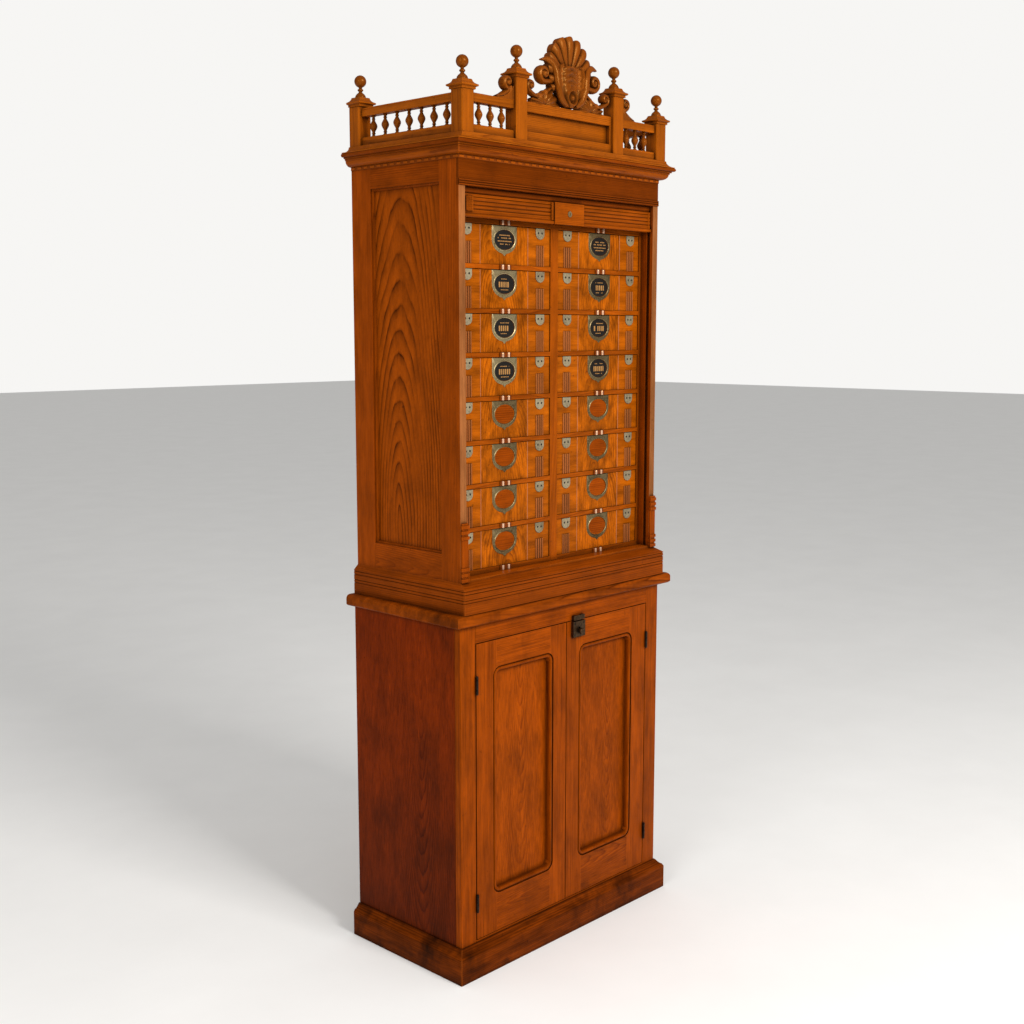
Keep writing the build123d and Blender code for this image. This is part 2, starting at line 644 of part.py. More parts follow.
def upper_side_frame():
    """Right side's stiles and rails, grooved for the shutter, and its jamb block."""
    depth0, depth1, z0, z1 = side_opening()
    boards = [slab(INNER_X, CASE_X, 0, depth0, COUNTER_TOP, CORNICE_BOARD_Z),
              slab(INNER_X, CASE_X, depth1, CASE_DEPTH, COUNTER_TOP, CORNICE_BOARD_Z),
              slab(INNER_X, CASE_X, depth0, depth1, COUNTER_TOP, z0),
              slab(INNER_X, CASE_X, depth0, depth1, z1, CORNICE_BOARD_Z)]
    rabbet = slab(INNER_X - 1, CASE_X - SIDE_PANEL_RECESS, depth0 - PANEL_LAP, depth1 + PANEL_LAP,
                  z0 - PANEL_LAP, z1 + PANEL_LAP)
    rebate = slab(INNER_X - 1, CASE_X + 1, CASE_DEPTH - FRIEZE_THICKNESS, CASE_DEPTH + 1, LINTEL_Z,
                  CORNICE_BOARD_Z + 1)
    groove = track_cutter()
    return [board - rabbet - rebate - groove for board in boards] + [jamb_block()]


def jamb_block():
    """Applied block at the foot of the right jamb, ringed at both ends."""
    x1 = CASE_X + JAMB_RING_PROUD
    x0 = x1 - JAMB_BLOCK_WIDTH - JAMB_RING_PROUD
    z0 = WAIST_TOP
    body = slab(x0 + JAMB_RING_PROUD, CASE_X, CASE_DEPTH, CASE_DEPTH + JAMB_BLOCK_PROUD, z0,
                z0 + JAMB_BLOCK_HEIGHT)
    for ring in range(JAMB_RINGS):
        for base in (z0 + JAMB_FOOT, z0 + JAMB_BLOCK_HEIGHT - JAMB_RINGS * JAMB_RING_PITCH):
            low = base + ring * JAMB_RING_PITCH
            body = body + slab(x0, x1, CASE_DEPTH, CASE_DEPTH + JAMB_BLOCK_PROUD + JAMB_RING_PROUD,
                               low, low + JAMB_RING_HEIGHT)
    return body


def upper_side_panel():
    """Right side's panel, let into the inside of its frame."""
    depth0, depth1, z0, z1 = side_opening()
    x1 = CASE_X - SIDE_PANEL_RECESS
    panel = slab(x1 - SIDE_PANEL_THICKNESS, x1, depth0 - PANEL_LAP, depth1 + PANEL_LAP, z0 - PANEL_LAP,
                 z1 + PANEL_LAP)
    return panel - track_cutter()


def upper_back():
    """Back boards between the upper sides."""
    return [slab(-INNER_X, INNER_X, 0, BACK_THICKNESS, COUNTER_TOP, CORNICE_BOARD_Z)]


def upper_floor():
    """Floor board of the upper case, its front edge just above the waist."""
    return [slab(-INNER_X, INNER_X, BACK_THICKNESS, CASE_DEPTH, NEST_FLOOR - FLOOR_THICKNESS, NEST_FLOOR)]


def nest_partitions():
    """Middle divider and the two outer sides of the nest."""
    side = slab(NEST_X, INNER_X, NEST_BACK_DEPTH, NEST_DEPTH, NEST_FLOOR, NEST_TOP)
    divider = slab(-DIVIDER_WIDTH / 2, DIVIDER_WIDTH / 2, NEST_BACK_DEPTH, NEST_DEPTH, NEST_FLOOR, NEST_TOP)
    return [divider] + both_sides(side)


def shelf_tops():
    """Height of each shelf's top, from the lowest up."""
    return [NEST_FLOOR + SHELF_THICKNESS + row * ROW_PITCH for row in range(ROWS + 1)]


def nest_shelves():
    """Shelves under, between and over the drawers of both columns."""
    boards = []
    for top in shelf_tops():
        boards += both_sides(slab(DIVIDER_WIDTH / 2, NEST_X, NEST_BACK_DEPTH, NEST_DEPTH,
                                  top - SHELF_THICKNESS, top))
    return boards


def rail_blocks():
    """Small twin-beaded block on the front of each shelf, above each shield."""
    blocks = []
    for top in shelf_tops():
        z0 = top - SHELF_THICKNESS
        block = slab(COLUMN_X - RAIL_BLOCK_WIDTH / 2, COLUMN_X + RAIL_BLOCK_WIDTH / 2,
                     NEST_DEPTH, NEST_DEPTH + RAIL_BLOCK_THICKNESS, z0, top)
        for side in (-1, 1):
            bead = Pos(COLUMN_X + side * RAIL_BEAD_PITCH / 2, y_at(NEST_DEPTH),
                       z0 + SHELF_THICKNESS / 2) * Cylinder(
                RAIL_BEAD_RADIUS, SHELF_THICKNESS)
            block = block + (bead & slab(0, NEST_X, NEST_DEPTH, CASE_DEPTH, z0, top))
        blocks += both_sides(block)
    return blocks


# ------------------------------------------------------------------ drawers
def shield_face(half_width, height, straight):
    """Shield outline hanging from (0, 0), straight down each side and then to a tip."""
    shoulder = (half_width, -straight)
    belly = (half_width * 0.74, -straight - (height - straight) * 0.6)
    nib = (half_width * 0.1, -height * 0.95)
    right = [Line((0, 0), (half_width, 0)), Line((half_width, 0), shoulder),
             ThreePointArc(shoulder, belly, nib), Line(nib, (0, -height))]
    left = [mirror(edge, about=Plane.YZ) for edge in right]
    return make_face(right + left)


def drawer(column, row):
    """One file drawer: a three-part front, a tray, brass plates and reeded strips."""
    centre = column * COLUMN_X
    floor = shelf_tops()[row] + DRAWER_FLOOR_GAP
    top = shelf_tops()[row] + CELL_HEIGHT - DRAWER_TOP_GAP
    half = CELL_WIDTH / 2 - DRAWER_SIDE_GAP
    face = NEST_DEPTH - DRAWER_FRONT_SETBACK
    inside = face - DRAWER_FRONT
    back = face - DRAWER_LENGTH
    wall_top = top - DRAWER_WALL_DROP
    solids = []
    for x0, x1 in ((-half, -DRAWER_JOINT), (-DRAWER_JOINT, DRAWER_JOINT), (DRAWER_JOINT, half)):
        solids.append(slab(centre + x0, centre + x1, inside, face, floor, top))
    for x0 in (-half, half - DRAWER_WALL):
        solids.append(slab(centre + x0, centre + x0 + DRAWER_WALL, back, inside, floor, wall_top))
    inner = half - DRAWER_WALL
    solids.append(slab(centre - inner, centre + inner, back, back + DRAWER_WALL, floor, wall_top))
    solids.append(slab(centre - inner, centre + inner, back + DRAWER_WALL, inside, floor,
                       floor + DRAWER_BOTTOM))
    shield = shield_face(SHIELD_HALF_WIDTH, SHIELD_HEIGHT, SHIELD_HEIGHT * 0.42)
    shield = shield - Pos(0, -WINDOW_CENTRE_DROP) * Ellipse(WINDOW_HALF_WIDTH, WINDOW_HALF_HEIGHT)
    solids.append(facing_plate(Pos(centre, top) * shield, face, PLATE_THICKNESS))
    clip = shield_face(CLIP_HALF_WIDTH, CLIP_HEIGHT, CLIP_HEIGHT * 0.5)
    for hole in (-CLIP_HOLE_OFFSET, CLIP_HOLE_OFFSET):
        clip = clip - Pos(hole, -CLIP_HEIGHT * 0.4) * Circle(CLIP_HOLE_RADIUS)
    for side in (-CLIP_OFFSET, CLIP_OFFSET):
        solids.append(facing_plate(Pos(centre + side, top) * clip, face, PLATE_THICKNESS))
        solids.append(slab(centre + side - REED_STRIP_WIDTH / 2, centre + side + REED_STRIP_WIDTH / 2,
                           face, face + PLATE_THICKNESS, floor, top - REED_STRIP_DROP))
    return solids


# ------------------------------------------------------------------ roll shutter
def tambour_bar():
    """Lead bar of the shutter: reeded face, lip, end tongues, lock block and fluted block."""
    half = INNER_X - SHUTTER_SIDE_GAP
    back = TRACK_DEPTH - LEAD_BAR_THICKNESS / 2
    face = back + LEAD_BAR_THICKNESS
    bar = slab(-half, half, back, face, LEAD_BAR_Z, LEAD_BAR_TOP)
    bar = bar + slab(-half, half, face, face + LIP_PROUD, LEAD_BAR_Z, LEAD_BAR_Z + LIP_HEIGHT)
    margin = (LEAD_BAR_HEIGHT - LIP_HEIGHT) / (REED_COUNT + 0.5)
    reach = REED_RADIUS * 0.75
    for reed in range(REED_COUNT):
        z = LEAD_BAR_Z + LIP_HEIGHT + (reed + 0.75) * margin
        round_bar = Pos(0, y_at(face - REED_RADIUS + reach), z) * Rot(0, 90, 0) * Cylinder(REED_RADIUS,
                                                                                           2 * half)
        bar = bar + round_bar
    tongue = TRACK_HALF_WIDTH - SHUTTER_TONGUE_GAP
    end = INNER_X + TRACK_CUT - SHUTTER_TONGUE_GAP
    bar = bar + slab(-end, end, TRACK_DEPTH - tongue, TRACK_DEPTH + tongue, LEAD_BAR_Z + TONGUE_INSET,
                     LEAD_BAR_TOP - TONGUE_INSET)
    return [bar - lock_block() - fluted_block()]


def lock_block():
    """Plain block that holds the shutter's lock."""
    face = TRACK_DEPTH + LEAD_BAR_THICKNESS / 2
    return slab(LOCK_BLOCK_CENTRE - LOCK_BLOCK_WIDTH / 2, LOCK_BLOCK_CENTRE + LOCK_BLOCK_WIDTH / 2,
                face - BLOCK_LET_IN, face + LOCK_BLOCK_THICKNESS, LEAD_BAR_Z, LEAD_BAR_TOP)


def fluted_block():
    """Small fluted block at the left end of the lead bar."""
    face = TRACK_DEPTH + LEAD_BAR_THICKNESS / 2
    x0 = -INNER_X + SHUTTER_SIDE_GAP + FLUTED_BLOCK_INSET
    return slab(x0, x0 + FLUTED_BLOCK_WIDTH, face - BLOCK_LET_IN, face + LIP_PROUD,
                LEAD_BAR_Z + LIP_HEIGHT + FLUTED_BLOCK_MARGIN, LEAD_BAR_TOP - FLUTED_BLOCK_MARGIN)


def tambour_lock():
    """Lock block, fluted block, brass escutcheon with its keyhole."""
    face = TRACK_DEPTH + LEAD_BAR_THICKNESS / 2 + LOCK_BLOCK_THICKNESS
    centre_z = (LEAD_BAR_Z + LEAD_BAR_TOP) / 2
    ring = Pos(LOCK_BLOCK_CENTRE, centre_z) * Circle(ESCUTCHEON_RADIUS)
    hole = Pos(LOCK_BLOCK_CENTRE, centre_z + 1) * Circle(KEYHOLE_RADIUS)
    slot = Pos(LOCK_BLOCK_CENTRE, centre_z - 1.5) * Rectangle(KEYHOLE_RADIUS, 5)
    return [lock_block(), fluted_block(), facing_plate(ring - hole - slot, face, ESCUTCHEON_THICKNESS)]


def tambour_curtain():
    """The gathered slats of the shutter above its lead bar."""
    half = INNER_X - SHUTTER_SIDE_GAP
    return [slab(-half, half, TRACK_DEPTH - CURTAIN_THICKNESS / 2, TRACK_DEPTH + CURTAIN_THICKNESS / 2,
                 LEAD_BAR_TOP, LEAD_BAR_TOP + CURTAIN_STORE)]


# ------------------------------------------------------------------ frieze and cornice
def frieze():
    """Frieze board with a reeded architrave along its foot."""
    board = slab(-CASE_X, CASE_X, CASE_DEPTH - FRIEZE_THICKNESS, CASE_DEPTH, LINTEL_Z, CORNICE_BOARD_Z)
    radius = ARCHITRAVE_HEIGHT / ARCHITRAVE_BEADS / 2
    beads = slab(-CASE_X, CASE_X, CASE_DEPTH, CASE_DEPTH + ARCHITRAVE_PROUD - radius / 2, LINTEL_Z,
                 LINTEL_Z + ARCHITRAVE_HEIGHT)
    for bead in range(ARCHITRAVE_BEADS):
        z = LINTEL_Z + (2 * bead + 1) * radius
        beads = beads + Pos(0, y_at(CASE_DEPTH + ARCHITRAVE_PROUD - radius), z) * Rot(0, 90, 0) * Cylinder(
            radius, CASE_WIDTH)
    beads = beads - slab(-CASE_WIDTH, CASE_WIDTH, 0, CASE_DEPTH, 0, CORNICE_TOP)
    return [board, beads]


def dentil_course():
    """Thin fillet with a row of small blocks, around the front and sides."""
    band = DENTIL_PROUD / 2
    section = polygon([(0, FRIEZE_TOP), (band, FRIEZE_TOP), (band, COVE_Z), (0, COVE_Z)])
    solids = moulding_runs(section, section, CASE_X, CASE_DEPTH, band, band)
    z0 = FRIEZE_TOP + DENTIL_MARGIN
    z1 = COVE_Z - DENTIL_MARGIN
    count = int((CASE_WIDTH - DENTIL_LENGTH) / DENTIL_PITCH)
    for i in range(count + 1):
        x = (i - count / 2) * DENTIL_PITCH
        solids.append(slab(x - DENTIL_LENGTH / 2, x + DENTIL_LENGTH / 2, CASE_DEPTH + band,
                           CASE_DEPTH + DENTIL_PROUD, z0, z1))
    side_count = int((CASE_DEPTH - DENTIL_LENGTH) / DENTIL_PITCH)
    for i in range(side_count + 1):
        depth = CASE_DEPTH / 2 + (i - side_count / 2) * DENTIL_PITCH
        solids += both_sides(slab(CASE_X + band, CASE_X + DENTIL_PROUD, depth - DENTIL_LENGTH / 2,
                                  depth + DENTIL_LENGTH / 2, z0, z1))
    return solids


def cornice_cove():
    """Cove and fillets that carry the cornice board."""
    def section(reach):
        run = reach - COVE_RADIUS - COVE_FOOT
        hollow = [(COVE_FOOT + run * math.sin(a), COVE_Z + COVE_RADIUS * (1 - math.cos(a)))
                  for a in [math.pi / 2 * i / 6 for i in range(7)]]
        edge = COVE_FOOT + run + COVE_FILLET
        lower = COVE_Z + COVE_RADIUS + 1
        upper = lower + COVE_FILLET_HEIGHT
        brow = edge + COVE_UPPER_FILLET - COVE_FILLET
        return polygon([(0, COVE_Z)] + hollow + [(edge, lower), (edge, upper), (brow, upper + 1),
                                                 (brow, CORNICE_BOARD_Z), (0, CORNICE_BOARD_Z)])
    return moulding_runs(section(CORNICE_SIDE_REACH), section(CORNICE_FRONT_REACH), CASE_X, CASE_DEPTH,
                         CORNICE_SIDE_REACH, CORNICE_FRONT_REACH)


def cornice_board():
    """Top board of the case, rounded on three edges."""
    half = CORNICE_BOARD / 2
    edge = [(half - half * math.sin(a),
             half - half * math.cos(a)) for a in [math.pi * i / 8 for i in range(9)]]
    return [edged_slab(edge, edge, CASE_X + CORNICE_SIDE_REACH, CORNICE_DEPTH, CORNICE_BOARD_Z)]


def gallery_base():
    """Hollow-sloped board that the gallery stands on."""
    def slope(inset):
        run = inset - GALLERY_BASE_FILLET
        rise = GALLERY_BASE_HEIGHT - GALLERY_BASE_FILLET
        angles = [math.pi / 2 * i / 5 for i in range(6)]
        return [(GALLERY_BASE_FILLET, 0)] + [(GALLERY_BASE_FILLET + run * math.sin(a),
                                              GALLERY_BASE_FILLET + rise * (1 - math.cos(a))) for a in angles]
    side = CORNICE_SIDE_REACH - POST_INSET - GALLERY_BASE_MARGIN
    front = CORNICE_FRONT_REACH - POST_FRONT_REACH - GALLERY_BASE_MARGIN
    return [edged_slab(slope(side), slope(front), CASE_X + CORNICE_SIDE_REACH, CORNICE_DEPTH, CORNICE_TOP)]


# ------------------------------------------------------------------ gallery
def post_places():
    """Centre x, centre depth and height of each gallery post."""
    places = []
    for side in (-1, 1):
        places.append((side * POST_X, POST_FRONT, POST_HEIGHT))
        places.append((side * POST_X, POST_BACK, POST_HEIGHT))
        places.append((side * INNER_POST_OFFSET, POST_FRONT, INNER_POST_HEIGHT))
    return places


def gallery_posts():
    """Six square posts with chamfered edges."""
    posts = []
    for x, depth, height in post_places():
        half = POST_SIZE / 2
        post = slab(x - half, x + half, depth - half, depth + half, GALLERY_Z, GALLERY_Z + height)
        posts.append(chamfer(post.edges().filter_by(Axis.Z), length=POST_CHAMFER))
    return posts


def post_caps():
    """Square caps: a neck, a brim and a hipped roof."""
    caps = []
    for x, depth, height in post_places():
        z = GALLERY_Z + height
        y = y_at(depth)
        neck = Pos(x, y, z + CAP_NECK_HEIGHT / 2) * Box(CAP_NECK, CAP_NECK, CAP_NECK_HEIGHT)
        brim_z = z + CAP_NECK_HEIGHT
        brim = Pos(x, y, brim_z + CAP_BRIM_HEIGHT / 2) * Box(CAP_BRIM, CAP_BRIM, CAP_BRIM_HEIGHT)
        roof_z = brim_z + CAP_BRIM_HEIGHT
        roof = loft([Pos(x, y, roof_z) * Rectangle(CAP_BRIM, CAP_BRIM),
                     Pos(x, y, roof_z + CAP_ROOF_HEIGHT) * Rectangle(CAP_ROOF_TOP, CAP_ROOF_TOP)])
        cap = neck + brim + roof
        caps.append(cap & slab(-CASE_WIDTH, CASE_WIDTH, 0, 2 * CASE_DEPTH, z, z + CAP_HEIGHT))
    return caps


def post_finials():
    """Ball finials: a dome, a ringed neck and a ball."""
    finials = []
    for x, depth, height in post_places():
        z = GALLERY_Z + height + CAP_HEIGHT
        y = y_at(depth)
        cover = Pos(x, y, z + FINIAL_DOME / 2) * Box(2 * FINIAL_DOME, 2 * FINIAL_DOME, FINIAL_DOME)
        dome = Pos(x, y, z) * Sphere(FINIAL_DOME) & cover
        neck = Pos(x, y, z + FINIAL_NECK_LENGTH / 2) * Cylinder(FINIAL_NECK, FINIAL_NECK_LENGTH)
        ring = Pos(x, y, z + FINIAL_RING_RISE) * Cylinder(FINIAL_RING, FINIAL_RING_HEIGHT)
        ring = fillet(ring.edges(), radius=FINIAL_RING_HEIGHT * 0.4)
        ball = Pos(x, y, z + FINIAL_NECK_LENGTH + FINIAL_BALL - FINIAL_BALL_SINK) * Sphere(FINIAL_BALL)
        finials.append(dome + neck + ring + ball)
    return finials


def rail_pair(x0, x1, depth0, depth1):
    """Lower and upper rail of one length of gallery."""
    upper = GALLERY_Z + RAIL_HEIGHT + RAIL_GAP
    return [slab(x0, x1, depth0, depth1, GALLERY_Z, GALLERY_Z + RAIL_HEIGHT),
            slab(x0, x1, depth0, depth1, upper, upper + RAIL_HEIGHT)]


def gallery_rails():
    """Rails along both sides and along the front beside the crest."""
    half = RAIL_WIDTH / 2
    post = POST_SIZE / 2
    rails = []
    for rail in rail_pair(POST_X - half, POST_X + half, POST_BACK + post, POST_FRONT - post):
        rails += both_sides(rail)
    for rail in rail_pair(INNER_POST_OFFSET + post, POST_X - post, POST_FRONT - half, POST_FRONT + half):
        rails += both_sides(rail)
    return rails


def spindle(x, depth):
    """Turned spindle between the two rails: foot, vase and head."""
    middle = RAIL_GAP / 2
    lower = [(SPINDLE_FOOT, 0), (SPINDLE_FOOT, SPINDLE_FOOT_HEIGHT), (SPINDLE_NECK, 2 * SPINDLE_FOOT_HEIGHT),
             (SPINDLE_SHOULDER, middle - SPINDLE_SHOULDER_OFFSET)]
    upper = [(radius, RAIL_GAP - height) for radius, height in reversed(lower)]
    stations = lower + [(SPINDLE_RADIUS, middle)] + upper
    return turned(stations, x, depth, GALLERY_Z + RAIL_HEIGHT)


def gallery_spindles():
    """Spindles along both sides and the two short front lengths."""
    solids = []
    side_middle = (POST_BACK + POST_FRONT) / 2
    for i in range(SIDE_SPINDLES):
        depth = side_middle + (i - (SIDE_SPINDLES - 1) / 2) * SIDE_SPINDLE_PITCH
        solids += both_sides(spindle(POST_X, depth))
    front_middle = (INNER_POST_OFFSET + POST_X) / 2
    for i in range(FRONT_SPINDLES):
        x = front_middle + (i - (FRONT_SPINDLES - 1) / 2) * FRONT_SPINDLE_PITCH
        solids += both_sides(spindle(x, POST_FRONT))
    return solids


# ------------------------------------------------------------------ crest
def crest_panel():
    """Panelled board between the inner posts."""
    half = INNER_POST_OFFSET - POST_SIZE / 2
    back = CREST_DEPTH - CREST_PANEL_THICKNESS
    low = GALLERY_Z + CREST_PANEL_RAIL
    high = CREST_Z - CREST_PANEL_RAIL
    boards = [slab(-half, half, back, CREST_DEPTH, GALLERY_Z, low),
              slab(-half, half, back, CREST_DEPTH, high, CREST_Z)]
    boards += both_sides(slab(half - CREST_PANEL_STILE, half, back, CREST_DEPTH, low, high))
    inner = half - CREST_PANEL_STILE
    boards.append(slab(-inner, inner, back, back + CREST_FIELD_THICKNESS, low, high))
    return boards


def shell_outline():
    """Scalloped fan: lobes swell around a hinge point low on the shell."""
    reach = SHELL_HEIGHT - SHELL_HINGE_RISE
    lobe = SHELL_SPREAD / SHELL_LOBES
    points = []
    per_lobe = 6
    for i in range(SHELL_LOBES * per_lobe + 1):
        angle = math.radians(-SHELL_SPREAD / 2 + i * lobe / per_lobe)
        phase = (i % per_lobe) / per_lobe
        swell = 1 - LOBE_NOTCH * (1 - math.sin(math.pi * phase))
        narrow = SHELL_WIDTH_SHARE + (1 - SHELL_WIDTH_SHARE) * math.cos(angle / 2) ** 4
        points.append((reach * swell * narrow * math.sin(angle),
                       CREST_Z + SHELL_HINGE_RISE + reach * swell * math.cos(angle)))
    return points


def crest_shell():
    """Scallop shell with the scrolled cartouche in front of its foot."""
    back = CREST_DEPTH - SHELL_THICKNESS
    fan = facing_plate(polygon(shell_outline()), back, SHELL_THICKNESS)
    steps = 24
    outline = []
    for i in range(steps):
        angle = 2 * math.pi * i / steps
        pinch = 1 - CARTOUCHE_PINCH * (1 - math.sin(angle))
        outline.append((CARTOUCHE_HALF_WIDTH * pinch * math.cos(angle),
                        CREST_Z + CARTOUCHE_HEIGHT / 2 * (1 + math.sin(angle))))
    body = facing_plate(polygon(outline), back, SHELL_THICKNESS + CARTOUCHE_PROUD)
    stem = slab(-SHELL_STEM_HALF_WIDTH, SHELL_STEM_HALF_WIDTH, back, CREST_DEPTH, CREST_Z,
                CREST_Z + SHELL_HINGE_RISE)
    return [fan + body + stem]


def arm(points, thickness):
    """Flat band of even thickness along a short polyline in (x, z)."""
    band = None
    for (x0, z0), (x1, z1) in zip(points, points[1:]):
        length = math.hypot(x1 - x0, z1 - z0)
        angle = math.degrees(math.atan2(z1 - z0, x1 - x0))
        piece = Pos((x0 + x1) / 2, (z0 + z1) / 2) * Rot(0, 0, angle) * SlotOverall(length + thickness,
                                                                                   thickness)
        band = piece if band is None else band + piece
    return band


def crest_scrolls():
    """Carved scrolls and leaves beside the shell, and volutes outside the inner posts."""
    inner = INNER_POST_OFFSET - POST_SIZE / 2
    outer = INNER_POST_OFFSET + POST_SIZE / 2
    back = CREST_DEPTH - SCROLL_THICKNESS
    post_scroll = (inner - POST_SCROLL_RADIUS, CREST_Z + POST_SCROLL_RISE)
    face = Pos(*post_scroll) * Circle(POST_SCROLL_RADIUS)
    face = face + Pos(C_SCROLL_OFFSET, CREST_Z + C_SCROLL_RISE) * Circle(C_SCROLL_RADIUS)
    root_x = CARTOUCHE_HALF_WIDTH * 0.75
    scroll_z = CREST_Z + C_SCROLL_RISE
    face = face + arm([(root_x, scroll_z - UPPER_ARM_DROP), (C_SCROLL_OFFSET, scroll_z - C_SCROLL_RADIUS)],
                      ARM_THICKNESS)
    face = face + arm([(root_x, scroll_z - LOWER_ARM_DROP),
                       ((root_x + post_scroll[0]) / 2, post_scroll[1] - POST_SCROLL_RADIUS),
                       (post_scroll[0],
                        post_scroll[1] - POST_SCROLL_RADIUS + ARM_THICKNESS / 2)], ARM_THICKNESS)
    leaf = Pos(LEAF_OFFSET, CREST_Z) * Ellipse(LEAF_HALF_WIDTH, LEAF_HEIGHT)
    below = Pos(0, CREST_Z - CASE_WIDTH) * Rectangle(2 * CASE_WIDTH, 2 * CASE_WIDTH)
    carving = facing_plate(face + leaf - below, back, SCROLL_THICKNESS)
    carving = carving - crest_shell()[0]
    rail_top = GALLERY_Z + 2 * RAIL_HEIGHT + RAIL_GAP
    volute_z = rail_top + VOLUTE_RISE
    web = polygon([(outer, rail_top), (outer + VOLUTE_FOOT, rail_top),
                   (outer + VOLUTE_FOOT * 0.5, rail_top + 8),
                   (outer + VOLUTE_RADIUS, volute_z - VOLUTE_RADIUS * 0.6), (outer, volute_z)])
    roll = Pos(outer + VOLUTE_RADIUS, volute_z) * Circle(VOLUTE_RADIUS)
    volute = facing_plate(web + roll, POST_FRONT - RAIL_WIDTH / 2, RAIL_WIDTH)
    cut = slab(-outer, outer, 0, 2 * CASE_DEPTH, 0, 2 * CORNICE_TOP)
    return both_sides(carving) + both_sides(volute - cut)


# ------------------------------------------------------------------ write every sub-part
def mirrored(solids):
    """Left-hand copies of right-hand pieces."""
    return [mirror(solid, about=Plane.YZ) for solid in solids]


def main():
    """Build each sub-part and write it under its node name."""
    os.makedirs("parts", exist_ok=True)
    save("base_plinth", base_plinth())
    save("base_side_right", [base_side()])
    save("base_side_left", mirrored([base_side()]))
    save("base_back", base_back())
    save("base_face_frame", base_face_frame())
    save("base_floor", base_floor())
    save("base_shelf", base_shelf())
    save("base_counter", base_counter())
    save("right_door_frame", door_frame())
    save("right_door_panel", [door_panel()])
    save("left_door_frame", mirrored(door_frame()))
    save("left_door_panel", mirrored([door_panel()]))
    save("case_hinge_leaves", case_hinge_leaves() + mirrored(case_hinge_leaves()))
    save("right_door_hinge_leaves", door_hinge_leaves())
    save("left_door_hinge_leaves", mirrored(door_hinge_leaves()))
    save("catch_case", catch_case())
    save("catch_bolt", catch_bolt())
    save("catch_keeper", catch_keeper())
    save("waist_moulding", waist_moulding())
    save("upper_side_frame_right", upper_side_frame())
    save("upper_side_frame_left", mirrored(upper_side_frame()))
    save("upper_side_panel_right", [upper_side_panel()])
    save("upper_side_panel_left", mirrored([upper_side_panel()]))
    save("upper_back", upper_back())
    save("upper_floor", upper_floor())
    save("nest_partitions", nest_partitions())
    save("nest_shelves", nest_shelves())
    save("rail_blocks", rail_blocks())
    for column, side in ((-1, "left"), (1, "right")):
        for row in range(ROWS):
            save(f"drawer_{side}_{ROWS - row}", drawer(column, row))
    save("tambour_bar", tambour_bar())
    save("tambour_lock", tambour_lock())
    save("tambour_curtain", tambour_curtain())
    save("frieze", frieze())
    save("dentil_course", dentil_course())
    save("cornice_cove", cornice_cove())
    save("cornice_board", cornice_board())
    save("gallery_base", gallery_base())
    save("gallery_posts", gallery_posts())
    save("post_caps", post_caps())
    save("post_finials", post_finials())
    save("gallery_rails", gallery_rails())
    save("gallery_spindles", gallery_spindles())
    save("crest_panel", crest_panel())
    save("crest_shell", crest_shell())
    save("crest_scrolls", crest_scrolls())


if __name__ == "__main__":
    main()
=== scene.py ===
"""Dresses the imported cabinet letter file: joinery, drawer fronts, shutter, gallery and carving.

Lengths in the classes are millimetres, as a joiner gives them; "depth" is measured forwards
from the cabinet's flat back. Meshes are written in metres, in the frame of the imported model.
"""
import json
import logging
import math
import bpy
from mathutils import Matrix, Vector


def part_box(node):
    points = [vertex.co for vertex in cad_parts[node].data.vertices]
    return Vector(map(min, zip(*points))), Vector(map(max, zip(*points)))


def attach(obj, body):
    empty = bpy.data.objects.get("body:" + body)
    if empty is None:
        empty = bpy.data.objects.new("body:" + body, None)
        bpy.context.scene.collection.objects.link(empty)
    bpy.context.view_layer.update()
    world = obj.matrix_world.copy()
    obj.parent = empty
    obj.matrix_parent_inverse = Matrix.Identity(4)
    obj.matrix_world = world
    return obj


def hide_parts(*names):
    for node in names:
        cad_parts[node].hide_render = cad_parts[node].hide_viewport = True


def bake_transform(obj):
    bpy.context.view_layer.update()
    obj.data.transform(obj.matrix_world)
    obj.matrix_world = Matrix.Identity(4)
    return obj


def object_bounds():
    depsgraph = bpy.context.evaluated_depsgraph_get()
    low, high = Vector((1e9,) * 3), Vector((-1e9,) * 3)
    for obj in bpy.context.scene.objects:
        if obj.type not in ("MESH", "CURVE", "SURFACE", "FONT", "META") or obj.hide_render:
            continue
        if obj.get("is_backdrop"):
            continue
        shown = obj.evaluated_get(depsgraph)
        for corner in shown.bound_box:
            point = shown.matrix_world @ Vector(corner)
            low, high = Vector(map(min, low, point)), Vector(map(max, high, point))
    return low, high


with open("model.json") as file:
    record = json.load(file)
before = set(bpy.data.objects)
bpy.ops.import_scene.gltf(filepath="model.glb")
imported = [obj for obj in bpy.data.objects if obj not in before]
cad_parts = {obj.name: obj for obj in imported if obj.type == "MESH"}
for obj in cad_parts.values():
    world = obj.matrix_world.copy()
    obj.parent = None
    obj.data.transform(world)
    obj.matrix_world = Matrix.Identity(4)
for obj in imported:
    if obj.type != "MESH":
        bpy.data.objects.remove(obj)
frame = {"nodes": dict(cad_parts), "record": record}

import zlib
from collections.abc import Iterable
from dataclasses import dataclass, replace
from enum import Enum
from typing import Any

import bmesh
import bpy
import numpy as np

LOG = logging.getLogger("letter_file")
CAD_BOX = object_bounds()
MM = 0.001
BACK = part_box("upper_back")[1][1] / MM
CASE_FRONT = -0.1715
SMOOTH_ANGLE = math.radians(34)
Colour = tuple[float, float, float]


class Axis(Enum):
    """Direction that a board's grain runs in."""

    X = 0
    Y = 1
    Z = 2


class Side(Enum):
    """Left or right half of the cabinet, as seen from the front."""

    LEFT = -1
    RIGHT = 1


SLOTS = {entry["node"]: entry["material_slot"] for entry in frame["record"]["subparts"]}


